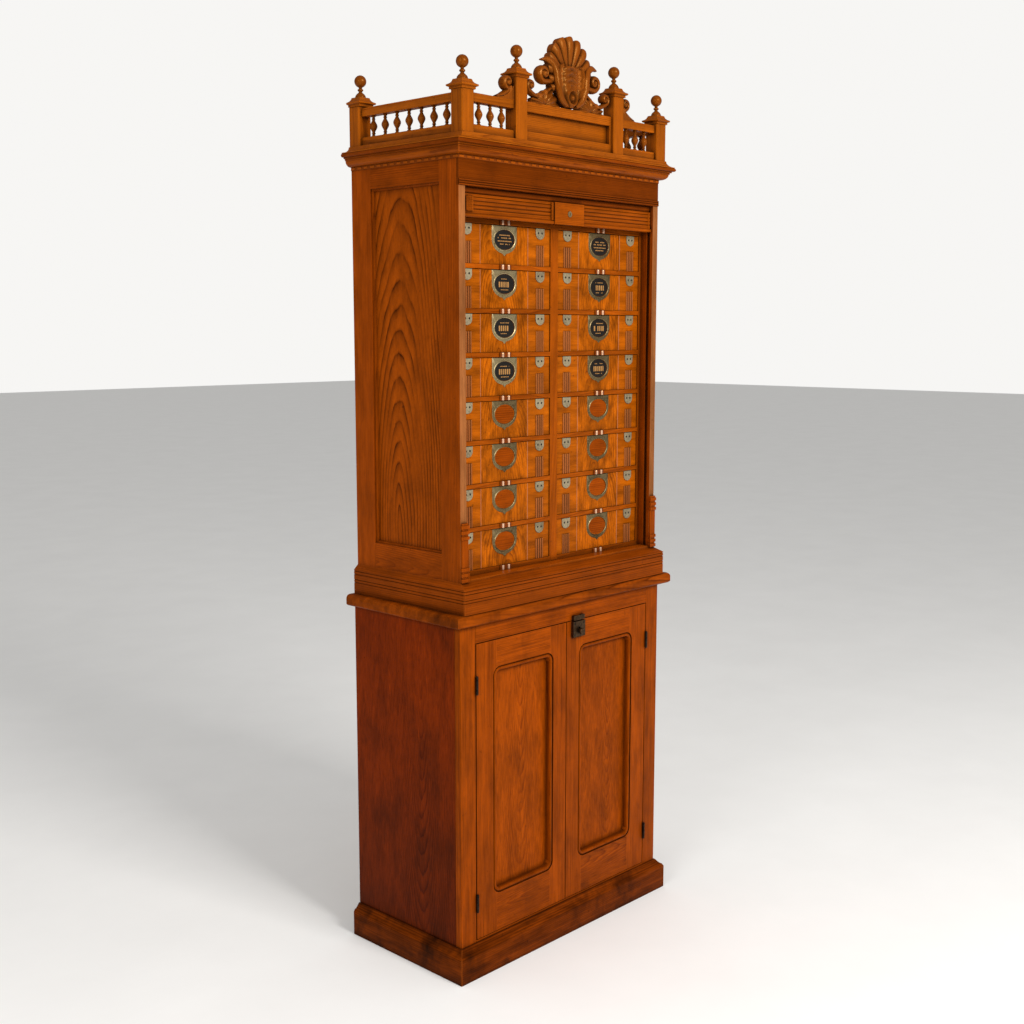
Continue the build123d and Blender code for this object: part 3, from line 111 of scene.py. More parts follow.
# ------------------------------------------------------------------ finishes
class Graph:
    """A material's nodes, added one call at a time."""

    def __init__(self, name: str) -> None:
        """Starts an empty material.

        Args:
            name: the finish's name.
        """
        self.material = bpy.data.materials.new(name)
        self.material.use_nodes = True
        self.nodes = self.material.node_tree.nodes
        self.links = self.material.node_tree.links
        self.nodes.clear()

    def add(self, kind: str, inputs: dict[Any, Any] | None = None, **settings: Any) -> bpy.types.Node:
        """Adds one node.

        Args:
            kind: the node's type without its "ShaderNode" prefix.
            inputs: a value or a socket for each named or numbered input.
            settings: the node's own properties.

        Returns:
            The new node.
        """
        node = self.nodes.new("ShaderNode" + kind)
        for key, value in settings.items():
            setattr(node, key, value)
        for key, value in (inputs or {}).items():
            if isinstance(value, bpy.types.NodeSocket):
                self.links.new(value, node.inputs[key])
            else:
                node.inputs[key].default_value = value
        return node

    def math(self, operation: str, first: Any, second: Any = 0.0) -> bpy.types.NodeSocket:
        """Arithmetic on two numbers or sockets."""
        return self.add("Math", {0: first, 1: second}, operation=operation).outputs[0]

    def remap(self, value: Any, span: tuple[float, float], to: tuple[float, float]) -> bpy.types.NodeSocket:
        """A value moved from one span to another and held within it."""
        node = self.add("MapRange", {0: value, 1: span[0], 2: span[1], 3: to[0], 4: to[1]})
        return node.outputs[0]

    def noise(self, place: Any, stretch: Colour, detail: float = 3.0) -> bpy.types.Node:
        """Noise that is drawn out differently along each axis.

        Args:
            place: the coordinates' socket.
            stretch: features per metre along each axis.
            detail: the number of finer octaves.

        Returns:
            The noise node, with Fac and Color outputs.
        """
        moved = self.add("Mapping", {"Vector": place, "Scale": stretch})
        return self.add("TexNoise", {"Vector": moved.outputs[0], "Scale": 1.0, "Detail": detail,
                                     "Roughness": 0.6})

    def ramp(self, value: Any, stops: list[tuple[float, Colour]]) -> bpy.types.NodeSocket:
        """Colour stops along a value from 0 to 1."""
        node = self.add("ValToRGB", {0: value})
        elements = node.color_ramp.elements
        while len(elements) < len(stops):
            elements.new(1.0)
        for element, (position, colour) in zip(elements, stops):
            element.position = position
            element.color = (*colour, 1.0)
        return node.outputs[0]

    def mix(self, share: Any, first: Any, second: Any) -> bpy.types.NodeSocket:
        """Blend of two colours by a share from 0 to 1."""
        values = {0: share}
        for index, colour in ((6, first), (7, second)):
            values[index] = colour if isinstance(colour, bpy.types.NodeSocket) else (*colour, 1.0)
        return self.add("Mix", values, data_type="RGBA").outputs[2]

    def scaled(self, colour: Any, share: Any) -> bpy.types.NodeSocket:
        """A colour made lighter or darker by a number."""
        return self.add("VectorMath", {0: colour, "Scale": share}, operation="SCALE").outputs[0]

    def hollow(self, reach: float) -> bpy.types.NodeSocket:
        """Share of open sky over each spot: low in corners and grooves."""
        node = self.add("AmbientOcclusion", {"Distance": reach}, samples=4)
        return node.outputs["AO"]

    def edges(self, reach: float) -> bpy.types.NodeSocket:
        """Share of material under each spot: low along raised edges."""
        node = self.add("AmbientOcclusion", {"Distance": reach}, samples=4, inside=True, only_local=True)
        return node.outputs["AO"]

    def shade(self, colour: Any, roughness: Any, height: Any, bump: tuple[float, float],
              **constants: Any) -> bpy.types.Material:
        """Closes the material with its surface shader.

        Args:
            colour: the base colour's socket.
            roughness: the roughness's socket.
            height: the bump height's socket.
            bump: strength of the bump, and its height in metres.
            constants: values that are the same all over.

        Returns:
            The finished material.
        """
        relief = self.add("Bump", {"Height": height, "Strength": bump[0], "Distance": bump[1]})
        shader = self.add("BsdfPrincipled", {"Base Color": colour, "Roughness": roughness,
                                             "Normal": relief.outputs[0]})
        for key, value in constants.items():
            shader.inputs[key.replace("_", " ")].default_value = value
        self.add("OutputMaterial", {"Surface": shader.outputs[0]})
        return self.material


@dataclass(frozen=True)
class WoodFinish:
    """Varnished timber with growth rings, pores, patches, dirt and painted shade in hollows, and rubbed
    edges.
    """

    name: str
    early: Colour
    late: Colour
    ring: float = 6.0
    wander: float = 1.0
    streaks: float = 0.16
    gloss: float = 0.34
    dirt_and_shade_colour: Colour = (0.012, 0.003, 0.001)
    corner_dirt_and_shade_share: float = 0.85
    rubbed: float = 0.35
    mottle: float = 0.06
    shine: float = 0.04
    foot_shade: float = 0.0
    grime: float = 0.2
    # strength and colour of the painted sheen on the case's bare front edge
    front_sheen: float = 0.0
    front_sheen_colour: Colour = (0.265, 0.105, 0.034)

    def rings(self, graph: Graph, board: Any) -> tuple[Any, Any]:
        """Growth rings about the board's heart, made untrue by a slow drift and a fine quiver.

        Args:
            graph: the material's nodes.
            board: the board's own grain coordinates.

        Returns:
            The moved coordinates and the place within a ring, from 0 to 1.
        """
        place = board
        for stretch, sway in (((1.1, 7.0, 7.0), 0.011 * self.wander), ((9.0, 70.0, 70.0), 0.003)):
            drift = graph.noise(board, stretch, 2.0).outputs["Color"]
            centred = graph.add("VectorMath", {0: drift, 1: (0.5, 0.5, 0.5)}, operation="SUBTRACT")
            place = graph.add("VectorMath", {0: centred.outputs[0], 1: (0.0, sway, sway), 2: place},
                              operation="MULTIPLY_ADD").outputs[0]
        wave = graph.add("TexWave", {"Vector": place, "Scale": 0.314 / (self.ring * MM), "Distortion": 0.0},
                         wave_type="RINGS", rings_direction="X", wave_profile="SAW")
        return place, wave.outputs["Fac"]

    def figure(self, graph: Graph, place: Any, rings: Any) -> Any:
        """Colour of early and late wood, with stretches where the rings fade.

        Args:
            graph: the material's nodes.
            place: the moved grain coordinates.
            rings: the place within a ring.

        Returns:
            The colour's socket.
        """
        middle = tuple(0.45 * a + 0.55 * b for a, b in zip(self.early, self.late))
        soft = tuple(0.88 * a for a in self.early)
        colour = graph.ramp(rings, [(0.0, middle), (0.12, self.early), (0.55, soft), (0.86, middle),
                                    (1.0, self.late)])
        faded = graph.noise(place, (0.8, 26.0, 26.0), 2.0).outputs["Fac"]
        return graph.mix(graph.remap(faded, (0.36, 0.64), (0.0, 0.8)), colour, soft)

    def paint_front_sheen(self, graph: Graph, colour: Any, depth: Any) -> Any:
        """Colour with a painted sheen on the case's bare front edge, but nothing before or behind it."""
        before = graph.remap(depth, (CASE_FRONT - 0.0006, CASE_FRONT - 0.0001), (0.0, 1.0))
        behind = graph.remap(depth, (CASE_FRONT + 0.0005, CASE_FRONT + 0.0011), (self.front_sheen, 0.0))
        return graph.mix(graph.math("MULTIPLY", before, behind), colour, self.front_sheen_colour)

    def weather(self, graph: Graph, colour: Any, whole: Any) -> tuple[Any, Any]:
        """Colour with specks, grime, dirt and painted shade in the corners, and rubbed edges.

        Args:
            graph: the material's nodes.
            colour: the clean colour.
            whole: the object's coordinates.

        Returns:
            The colour, and the share of corner dirt and painted shade.
        """
        specks = graph.noise(whole, (95.0, 95.0, 70.0), 2.0).outputs["Fac"]
        grime = graph.noise(whole, (11.0, 11.0, 7.0), 5.0).outputs["Fac"]
        dirt = graph.math("MAXIMUM", graph.remap(specks, (0.68, 0.78), (0.0, 0.5)),
                          graph.remap(grime, (0.5, 0.72), (0.0, self.grime)))
        colour = graph.mix(dirt, colour, self.dirt_and_shade_colour)
        # dirt and painted shade: ambient occlusion darkens corners, grooves and the strip under each rail
        corners = graph.remap(graph.hollow(0.016), (0.42, 0.98), (self.corner_dirt_and_shade_share, 0.0))
        colour = graph.mix(corners, colour, self.dirt_and_shade_colour)
        worn = graph.remap(graph.edges(0.0025), (0.45, 0.8), (self.rubbed, 0.0))
        paler = tuple(1.5 * a + b for a, b in zip(self.early, (0.02, 0.012, 0.004)))
        return graph.mix(worn, colour, paler), corners

    def build(self) -> bpy.types.Material:
        """The material, read from each board's own grain coordinates."""
        graph = Graph(self.name)
        board = graph.add("Attribute", attribute_name="wood").outputs["Vector"]
        tone = graph.add("Attribute", attribute_name="tone").outputs["Fac"]
        whole = graph.add("TexCoord").outputs["Object"]
        split = graph.add("SeparateXYZ", {0: whole}).outputs
        place, rings = self.rings(graph, board)
        fibre = graph.noise(board, (5.0, 380.0, 380.0), 4.0).outputs["Fac"]
        pores = graph.remap(graph.noise(board, (55.0, 1300.0, 1300.0), 1.0).outputs["Fac"],
                            (0.58, 0.72), (0.0, 1.0))
        patch = graph.noise(board, (1.6, 4.0, 4.0), 2.0).outputs["Fac"]
        cloud = graph.noise(place, (9.0, 42.0, 42.0), 3.0).outputs["Fac"]
        share = 1.0
        for value, span, to in ((fibre, (0.3, 0.7), (1.0 - self.streaks, 1.0 + self.streaks)),
                                (patch, (0.3, 0.7), (0.84, 1.14)), (pores, (0.0, 1.0), (1.0, 0.72)),
                                (cloud, (0.32, 0.68), (1.0 - self.mottle, 1.0 + self.mottle)),
                                (tone, (0.0, 1.0), (0.72, 1.28)),
                                (split["Z"], (0.1, 0.8), (1.0 - self.foot_shade, 1.0))):
            share = graph.math("MULTIPLY", share, graph.remap(value, span, to))
        colour = self.paint_front_sheen(graph, self.figure(graph, place, rings), split["Y"])
        colour, corners = self.weather(graph, graph.scaled(colour, share), whole)
        rough = graph.remap(patch, (0.3, 0.7), (self.gloss - 0.06, self.gloss + 0.08))
        rough = graph.math("ADD", rough, graph.math("MULTIPLY", corners, 0.3))
        height = graph.math("ADD", graph.math("MULTIPLY", rings, 0.35), fibre)
        height = graph.math("SUBTRACT", height, pores)
        return graph.shade(colour, rough, height, (0.22, 0.0004), Specular_IOR_Level=self.shine,
                           Specular_Tint=(1.0, 0.5, 0.12, 1.0))


@dataclass(frozen=True)
class MetalFinish:
    """Handled metal: bright where it is rubbed, dull in patches, dark in its corners."""

    name: str
    bright: Colour
    dull: Colour
    metallic: float = 1.0
    roughness: float = 0.32
    cover: tuple[float, float] = (0.42, 0.62)
    grain: float = 220.0
    shine: float = 0.5

    def build(self) -> bpy.types.Material:
        """The material, on the piece's own coordinates."""
        graph = Graph(self.name)
        place = graph.add("TexCoord").outputs["Object"]
        cloud = graph.noise(place, (self.grain,) * 3, 5.0).outputs["Fac"]
        broad = graph.noise(place, (16.0, 16.0, 16.0), 3.0).outputs["Fac"]
        scratch = graph.noise(place, (700.0, 700.0, 90.0), 2.0).outputs["Fac"]
        share = graph.remap(graph.math("ADD", graph.math("MULTIPLY", cloud, 0.5),
                                       graph.math("MULTIPLY", broad, 0.5)), self.cover, (0.0, 1.0))
        colour = graph.mix(share, self.bright, self.dull)
        corners = graph.remap(graph.hollow(0.006), (0.35, 0.95), (0.8, 0.0))
        colour = graph.mix(corners, colour, (0.02, 0.013, 0.008))
        worn = graph.remap(graph.edges(0.0012), (0.4, 0.8), (0.55, 0.0))
        colour = graph.mix(worn, colour, self.bright)
        rough = graph.math("ADD", graph.remap(share, (0.0, 1.0), (self.roughness, self.roughness + 0.22)),
                           graph.math("MULTIPLY", scratch, 0.1))
        return graph.shade(colour, rough, graph.math("ADD", scratch, cloud), (0.12, 0.0003),
                           Metallic=self.metallic, Specular_IOR_Level=self.shine)


class Wood(Enum):
    """The cabinet's timbers."""

    CASE = WoodFinish("varnished_oak", (0.290, 0.050, 0.0013), (0.115, 0.0170, 0.0005), ring=5.0, wander=1.4,
                      mottle=0.2, front_sheen=0.75)
    PANEL = WoodFinish("arched_panel_oak", (0.305, 0.055, 0.0013), (0.022, 0.0034, 0.0003), ring=10.0,
                       wander=2.6, mottle=0.16)
    FRIEZE = WoodFinish("stained_waist_oak", (0.225, 0.040, 0.0012), (0.095, 0.0150, 0.0005), ring=5.0,
                        mottle=0.14)
    CORNICE = WoodFinish("dark_cornice_oak", (0.165, 0.029, 0.0009), (0.060, 0.0095, 0.0003), ring=4.0,
                         mottle=0.12)
    VENEER = WoodFinish("figured_drawer_veneer", (0.390, 0.086, 0.0012), (0.115, 0.0175, 0.0004), ring=8.0,
                        wander=6.0, mottle=0.45, streaks=0.14, shine=0.08)
    BANDING = WoodFinish("cross_banded_drawer_ends", (0.370, 0.082, 0.0012), (0.170, 0.028, 0.0006), ring=3.0,
                         mottle=0.32, shine=0.08)
    REED = WoodFinish("rosy_reeded_strips", (0.310, 0.088, 0.022), (0.110, 0.026, 0.006), ring=4.0, gloss=0.3,
                      shine=0.2)
    STRING = WoodFinish("dusky_inlaid_strings", (0.330, 0.120, 0.058), (0.210, 0.068, 0.032), ring=4.0,
                        gloss=0.3, corner_dirt_and_shade_share=0.3, shine=0.3)
    NEST = WoodFinish("nest_shelf_oak", (0.300, 0.058, 0.0011), (0.135, 0.022, 0.0006), ring=4.0, mottle=0.2,
                      shine=0.08)
    TRAY = WoodFinish("drawer_tray_poplar", (0.330, 0.170, 0.055), (0.210, 0.095, 0.025), ring=5.0, gloss=0.5)
    # painted highlight: the pegs' pale pink colour stands in for the glints on the polished pegs
    PEG = WoodFinish("polished_rail_pegs", (0.620, 0.390, 0.260), (0.400, 0.220, 0.130), ring=4.0, gloss=0.13,
                     shine=1.0, corner_dirt_and_shade_share=0.2)
    BEAD = WoodFinish("polished_rail_blocks", (0.170, 0.030, 0.0020), (0.080, 0.012, 0.001), ring=4.0,
                      gloss=0.2, shine=0.3, corner_dirt_and_shade_share=0.5)
    DOOR = WoodFinish("cupboard_door_pine", (0.280, 0.048, 0.0007), (0.125, 0.0175, 0.0004), ring=3.6,
                      mottle=0.2, streaks=0.3, foot_shade=0.08, grime=0.35)
    SIDE = WoodFinish("cupboard_side_pine", (0.215, 0.025, 0.0005), (0.075, 0.0068, 0.0003), ring=5.0,
                      mottle=0.2, streaks=0.3, foot_shade=0.45, grime=0.4)
    DARK = WoodFinish("dark_plinth_pine", (0.130, 0.022, 0.0008), (0.036, 0.0054, 0.0003), ring=5.0,
                      rubbed=0.8, mottle=0.4, streaks=0.3, grime=1.0)
    COUNTER = WoodFinish("worn_counter_pine", (0.250, 0.045, 0.0013), (0.070, 0.0100, 0.0004), ring=5.0,
                         rubbed=0.6, mottle=0.3, grime=0.7)
    GALLERY = WoodFinish("gallery_oak", (0.335, 0.076, 0.0022), (0.150, 0.028, 0.0009), ring=4.0, mottle=0.12,
                         shine=0.15)
    CARVED = WoodFinish("carved_oak", (0.215, 0.050, 0.0030), (0.105, 0.021, 0.0013), ring=4.5, gloss=0.24,
                        shine=0.3, rubbed=0.5)
    INSIDE = WoodFinish("bare_inside_pine", (0.300, 0.130, 0.034), (0.170, 0.062, 0.013), ring=5.0,
                        gloss=0.55)


class Metal(Enum):
    """The cabinet's metals, paint and gilding."""

    BRASS = MetalFinish("worn_label_brass", (0.520, 0.420, 0.230), (0.200, 0.145, 0.068), roughness=0.36)
    OLIVE = MetalFinish("darkened_label_brass", (0.300, 0.225, 0.110), (0.100, 0.068, 0.032), roughness=0.4)
    CLIP = MetalFinish("pale_clip_brass", (0.420, 0.350, 0.220), (0.170, 0.135, 0.080), metallic=0.6,
                       roughness=0.42)
    IRON = MetalFinish("hinge_iron", (0.050, 0.032, 0.022), (0.012, 0.008, 0.006), roughness=0.45)
    BRONZE = MetalFinish("catch_bronze", (0.110, 0.062, 0.030), (0.028, 0.015, 0.008), roughness=0.35)
    ENAMEL = MetalFinish("black_label_enamel", (0.011, 0.008, 0.006), (0.004, 0.003, 0.003), metallic=0.0,
                         roughness=0.35, shine=0.2)
    GILT = MetalFinish("label_gilding", (0.430, 0.210, 0.055), (0.170, 0.078, 0.022), metallic=0.3,
                       roughness=0.4, cover=(0.45, 0.7), grain=500.0)


class Finishes:
    """Makes each finish once, when it is first asked for."""

    made: dict[str, bpy.types.Material] = {}

    @classmethod
    def of(cls, finish: Wood | Metal) -> bpy.types.Material:
        """The material of a named finish."""
        if finish.value.name not in cls.made:
            cls.made[finish.value.name] = finish.value.build()
        return cls.made[finish.value.name]


# ------------------------------------------------------------------ mesh making
def placed(x: Any, depth: Any, z: Any) -> np.ndarray:
    """Points in metres from x, depth and height in millimetres, which may be arrays."""
    x, depth, z = np.broadcast_arrays(np.asarray(x, float), depth, z)
    return np.stack([x, BACK - depth, z], -1) * MM


def grain_of(points: np.ndarray, seed: int, axis: Axis | None = None, tilt: float | None = None,
             heart: float | None = None) -> np.ndarray:
    """Coordinates of a board within the log it was sawn from.

    The first runs along the log; the other two are measured from its heart, which lies some way
    behind the board's face and leans away from it, so that rings show as nested arches.

    Args:
        points: the board's points in metres.
        seed: picks this board's place in the log.
        axis: direction of the grain; the board's longest side if it isn't given.
        tilt: lean of the heart; a random one if it isn't given.
        heart: distance of the heart behind the middle of the board, in metres.

    Returns:
        One row of three coordinates for each point.
    """
    rng = np.random.default_rng(seed)
    low, high = points.min(0), points.max(0)
    size = high - low
    along = int(np.argmax(size)) if axis is None else axis.value
    across = sorted((i for i in range(3) if i != along), key=lambda i: -size[i])
    broad = size[across[0]] > 0.1
    lean = rng.uniform(0.05, 0.11) if broad else rng.uniform(0.0, 0.02)
    away = rng.uniform(0.02, 0.06) if broad else rng.uniform(0.01, 0.03)
    lean = lean * rng.choice([-1.0, 1.0]) if tilt is None else tilt
    away = away if heart is None else heart
    shift = rng.uniform(-0.2, 0.2) * size[across[0]] if broad else rng.uniform(0.05, 0.15)
    local = points - (low + high) / 2
    return np.stack([local[:, along] + rng.uniform(-4.0, 4.0), local[:, across[0]] + shift,
                     local[:, across[1]] + away + lean * local[:, along]], -1)


def seed_of(name: str) -> int:
    """A number that belongs to a name."""
    return zlib.crc32(name.encode())


@dataclass
class Part:
    """One closed shape: its points, faces, grain and tone."""

    points: np.ndarray
    faces: list[list[int]]
    grain: np.ndarray | None = None
    tone: float = 0.5

    def size(self) -> np.ndarray:
        """Length of each side of the shape's box, in millimetres."""
        return (self.points.max(0) - self.points.min(0)) / MM

    def box(self) -> tuple[np.ndarray, np.ndarray]:
        """Lowest and highest corner of the shape's box, in millimetres."""
        return self.points.min(0) / MM, self.points.max(0) / MM

    def mirrored(self) -> "Part":
        """A copy on the other side of the cabinet."""
        return Part(self.points * np.array([-1.0, 1.0, 1.0]), self.faces, self.grain, self.tone)


def grid(points: np.ndarray, wrap_rows: bool = False, wrap_cols: bool = False, cap_rows: bool = False,
         cap_cols: bool = False, tone: float = 0.5) -> Part:
    """A surface over a rectangular grid of points.

    Args:
        points: rows by columns by three.
        wrap_rows: joins the last row to the first.
        wrap_cols: joins the last column to the first.
        cap_rows: closes the first and last row, which are rings, with a fan.
        cap_cols: closes the first and last column in the same way.
        tone: lightness from 0 to 1.

    Returns:
        The shape.
    """
    rows, cols = points.shape[:2]
    index = np.arange(rows * cols).reshape(rows, cols)
    ring = np.vstack([index, index[:1]]) if wrap_rows else index
    ring = np.hstack([ring, ring[:, :1]]) if wrap_cols else ring
    quads = np.stack([ring[:-1, :-1], ring[:-1, 1:], ring[1:, 1:], ring[1:, :-1]], -1).reshape(-1, 4)
    faces = quads.tolist()
    cloud = [points.reshape(-1, 3)]
    count = rows * cols
    rims = ([index[0], index[-1]] if cap_rows else []) + ([index[:, 0], index[:, -1]] if cap_cols else [])
    for rim in rims:
        cloud.append(cloud[0][rim].mean(0)[None])
        fan = np.stack([rim, np.roll(rim, -1), np.full(len(rim), count)], -1)
        faces += fan.tolist()
        count += 1
    return Part(np.vstack(cloud), faces, tone=tone)


def around(steps: int) -> np.ndarray:
    """Angles of evenly spaced points round a circle."""
    return np.linspace(0, 2 * math.pi, steps, endpoint=False)


def loft(points: np.ndarray, tone: float = 0.5) -> Part:
    """A shape whose rows are closed rings, with both ends capped."""
    return grid(points, wrap_cols=True, cap_rows=True, tone=tone)


def lathe(profile: np.ndarray, x: float, depth: float, z: float, steps: int = 20,
          square: bool = False) -> Part:
    """A turned shape: radius and height stations swept round a vertical axis.

    Args:
        profile: radius and height of each station, in millimetres.
        x: place of the axis.
        depth: place of the axis.
        z: height of the profile's zero.
        steps: points round the shape.
        square: whether the plan is square in place of round.

    Returns:
        The shape, closed at both ends.
    """
    angle = around(steps)
    east, north = np.cos(angle), np.sin(angle)
    if square:
        reach = np.maximum(abs(east), abs(north))
        east, north = east / reach, north / reach
    radius, height = profile[:, :1], profile[:, 1:]
    return loft(placed(x + radius * east, depth + radius * north, z + height))


def boss(profile: np.ndarray, x: float, depth: float, z: float, steps: int) -> Part:
    """A round shape that faces forwards: radius and rise stations swept round a level axis.

    Args:
        profile: radius and rise of each station, in millimetres.
        x: place of the axis.
        depth: depth of the profile's zero.
        z: height of the axis.
        steps: points round the shape.

    Returns:
        The shape, closed at both ends.
    """
    angle = around(steps)
    return loft(placed(x + profile[:, :1] * np.cos(angle), depth + profile[:, 1:],
                       z + profile[:, :1] * np.sin(angle)))


def curve(knots: Iterable[tuple[float, ...]], count: int) -> np.ndarray:
    """A smooth line through its knots: cubic pieces that share their slopes (Catmull-Rom).

    Args:
        knots: the points the line passes through.
        count: points along the line.

    Returns:
        That many points.
    """
    points = np.array(list(knots), float)
    ends = np.vstack([2 * points[0] - points[1], points, 2 * points[-1] - points[-2]])
    spot = np.linspace(0, len(points) - 1 - 1e-9, count)
    k = spot.astype(int)
    t = (spot - k)[:, None]
    a, b, c, d = ends[k], ends[k + 1], ends[k + 2], ends[k + 3]
    square, cube = 2 * a - 5 * b + 4 * c - d, 3 * b - 3 * c + d - a
    return 0.5 * (2 * b + (c - a) * t + square * t ** 2 + cube * t ** 3)


def roll_along(path: np.ndarray, width: np.ndarray, centre_depth: np.ndarray, reach: np.ndarray,
               steps: int = 12) -> Part:
    """A carved roll that follows a line on the front: an oval section square to the line.

    Args:
        path: x and z of each point.
        width: half-width of the roll in the plane of the front, at each point.
        centre_depth: depth of the roll's middle at each point.
        reach: half its thickness, front to back, at each point.
        steps: points round the section.

    Returns:
        The shape, closed at both ends.
    """
    run = np.gradient(path, axis=0)
    run /= np.linalg.norm(run, axis=1, keepdims=True) + 1e-9
    side = np.stack([-run[:, 1], run[:, 0]], -1)
    angle = around(steps)
    across = np.cos(angle)[None, :, None] * side[:, None, :] * width[:, None, None]
    x = path[:, None, 0] + across[:, :, 0]
    z = path[:, None, 1] + across[:, :, 1]
    depth = centre_depth[:, None] + reach[:, None] * np.sin(angle)[None]
    return loft(placed(x, depth, z))


def block(x0: float, x1: float, depth0: float, depth1: float, z0: float, z1: float, ease: float = 0.6,
          tone: float = 0.5) -> Part:
    """A board with eased edges, as four rings: the back arris, the sides and the front arris.

    Args:
        x0: left face.
        x1: right face.
        depth0: back face.
        depth1: front face.
        z0: lower face.
        z1: upper face.
        ease: width of the eased edge.
        tone: lightness from 0 to 1.

    Returns:
        The shape.
    """
    rings = []
    for depth, inset in ((depth0, ease), (depth0 + ease, 0.0), (depth1 - ease, 0.0), (depth1, ease)):
        left, right, low, high = x0 + inset, x1 - inset, z0 + inset, z1 - inset
        x = np.array([left + ease, right - ease, right, right, right - ease, left + ease, left, left])
        z = np.array([low, low, low + ease, high - ease, high, high, high - ease, low + ease])
        rings.append(placed(x, depth, z))
    return loft(np.stack(rings), tone)


def solids_of(faces: np.ndarray) -> list[np.ndarray]:
    """Splits a list of triangles wherever the shape so far has closed.

    A closed shape uses each edge once in each direction, so the set of edges still waiting for
    their partner is empty exactly where one solid ends and the next begins.

    Args:
        faces: three numbers of merged corners for each triangle.

    Returns:
        The triangles of each solid.
    """
    waiting: set[tuple[int, int]] = set()
    solids, start = [], 0
    for number, (a, b, c) in enumerate(faces.tolist(), 1):
        for edge in ((a, b), (b, c), (c, a)):
            if (edge[1], edge[0]) in waiting:
                waiting.remove((edge[1], edge[0]))
            elif edge[0] != edge[1]:
                waiting.add(edge)
        if not waiting:
            solids.append(faces[start:number])
            start = number
    if start < len(faces):
        LOG.warning("the last shape of a node does not close")
        solids.append(faces[start:])
    return solids


def parts_of(node: str) -> list[Part]:
    """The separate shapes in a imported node, merged and with flat faces made whole.

    Args:
        node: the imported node's name.

    Returns:
        One part for each closed shape.
    """
    mesh = frame["nodes"][node].data
    mesh.calc_loop_triangles()
    cloud = np.empty(len(mesh.vertices) * 3, np.float32)
    mesh.vertices.foreach_get("co", cloud)
    corners = np.empty(len(mesh.loop_triangles) * 3, np.int32)
    mesh.loop_triangles.foreach_get("vertices", corners)
    points, merged = np.unique(np.round(cloud.reshape(-1, 3).astype(float), 5), axis=0, return_inverse=True)
    parts = []
    for solid in solids_of(merged.reshape(-1)[corners].reshape(-1, 3)):
        used, local = np.unique(solid, return_inverse=True)
        triangles = [face for face in local.reshape(-1, 3).tolist() if len(set(face)) == 3]
        shell = bpy.data.meshes.new("shell")
        shell.from_pydata(points[used].tolist(), [], triangles)
        shape = bmesh.new()
        shape.from_mesh(shell)
        bmesh.ops.dissolve_limit(shape, angle_limit=math.radians(0.4), verts=shape.verts, edges=shape.edges)
        shape.verts.index_update()
        parts.append(Part(np.array([v.co[:] for v in shape.verts]),
                          [[v.index for v in face.verts] for face in shape.faces]))
        shape.free()
        bpy.data.meshes.remove(shell)
    return parts


def piece(name: str, parts: list[Part], finish: Wood | Metal, body: str, slot: str,
          edge: float = 0.0, stands_for: Iterable[str] = (), axis: Axis | None = None) -> bpy.types.Object:
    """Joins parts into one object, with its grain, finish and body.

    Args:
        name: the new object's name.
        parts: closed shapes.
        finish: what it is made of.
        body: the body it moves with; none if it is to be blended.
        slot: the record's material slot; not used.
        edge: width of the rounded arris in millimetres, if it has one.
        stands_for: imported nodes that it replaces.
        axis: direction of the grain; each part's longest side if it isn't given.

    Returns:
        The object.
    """
    rng = np.random.default_rng(seed_of(name))
    grain, tones, faces, start = [], [], [], 0
    for number, part in enumerate(parts):
        if part.grain is None:
            part = replace(part, grain=grain_of(part.points, seed_of(f"{name}{number}"), axis))
        grain.append(part.grain)
        tones.append(np.full(len(part.points), np.clip(part.tone + rng.uniform(-0.14, 0.14), 0, 1)))
        faces += [[i + start for i in face] for face in part.faces]
        start += len(part.points)
    mesh = bpy.data.meshes.new(name)
    mesh.from_pydata(np.vstack([part.points for part in parts]).tolist(), [], faces)
    for label, kind, field_name, values in (("wood", "FLOAT_VECTOR", "vector", np.vstack(grain)),
                                            ("tone", "FLOAT", "value", np.hstack(tones))):
        layer = mesh.attributes.new(label, kind, "POINT")
        layer.data.foreach_set(field_name, values.astype(np.float32).ravel())
    shape = bmesh.new()
    shape.from_mesh(mesh)
    bmesh.ops.recalc_face_normals(shape, faces=shape.faces)
    shape.to_mesh(mesh)
    shape.free()
    mesh.polygons.foreach_set("use_smooth", [True] * len(mesh.polygons))
    mesh.set_sharp_from_angle(angle=SMOOTH_ANGLE)
    mesh.materials.append(Finishes.of(finish))
    item = bpy.data.objects.new(name, mesh)
    bpy.context.scene.collection.objects.link(item)
    if edge:
        arris = item.modifiers.new("eased_edges", "BEVEL")
        arris.width = edge * MM
        arris.segments = 2
        arris.limit_method = "ANGLE"
        arris.angle_limit = math.radians(40)
        arris.harden_normals = True
    if body:
        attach(item, body)
    for node in stands_for:
        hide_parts(node)
    LOG.info("%s: %d faces, %s", name, len(mesh.polygons), finish.value.name)
    return item


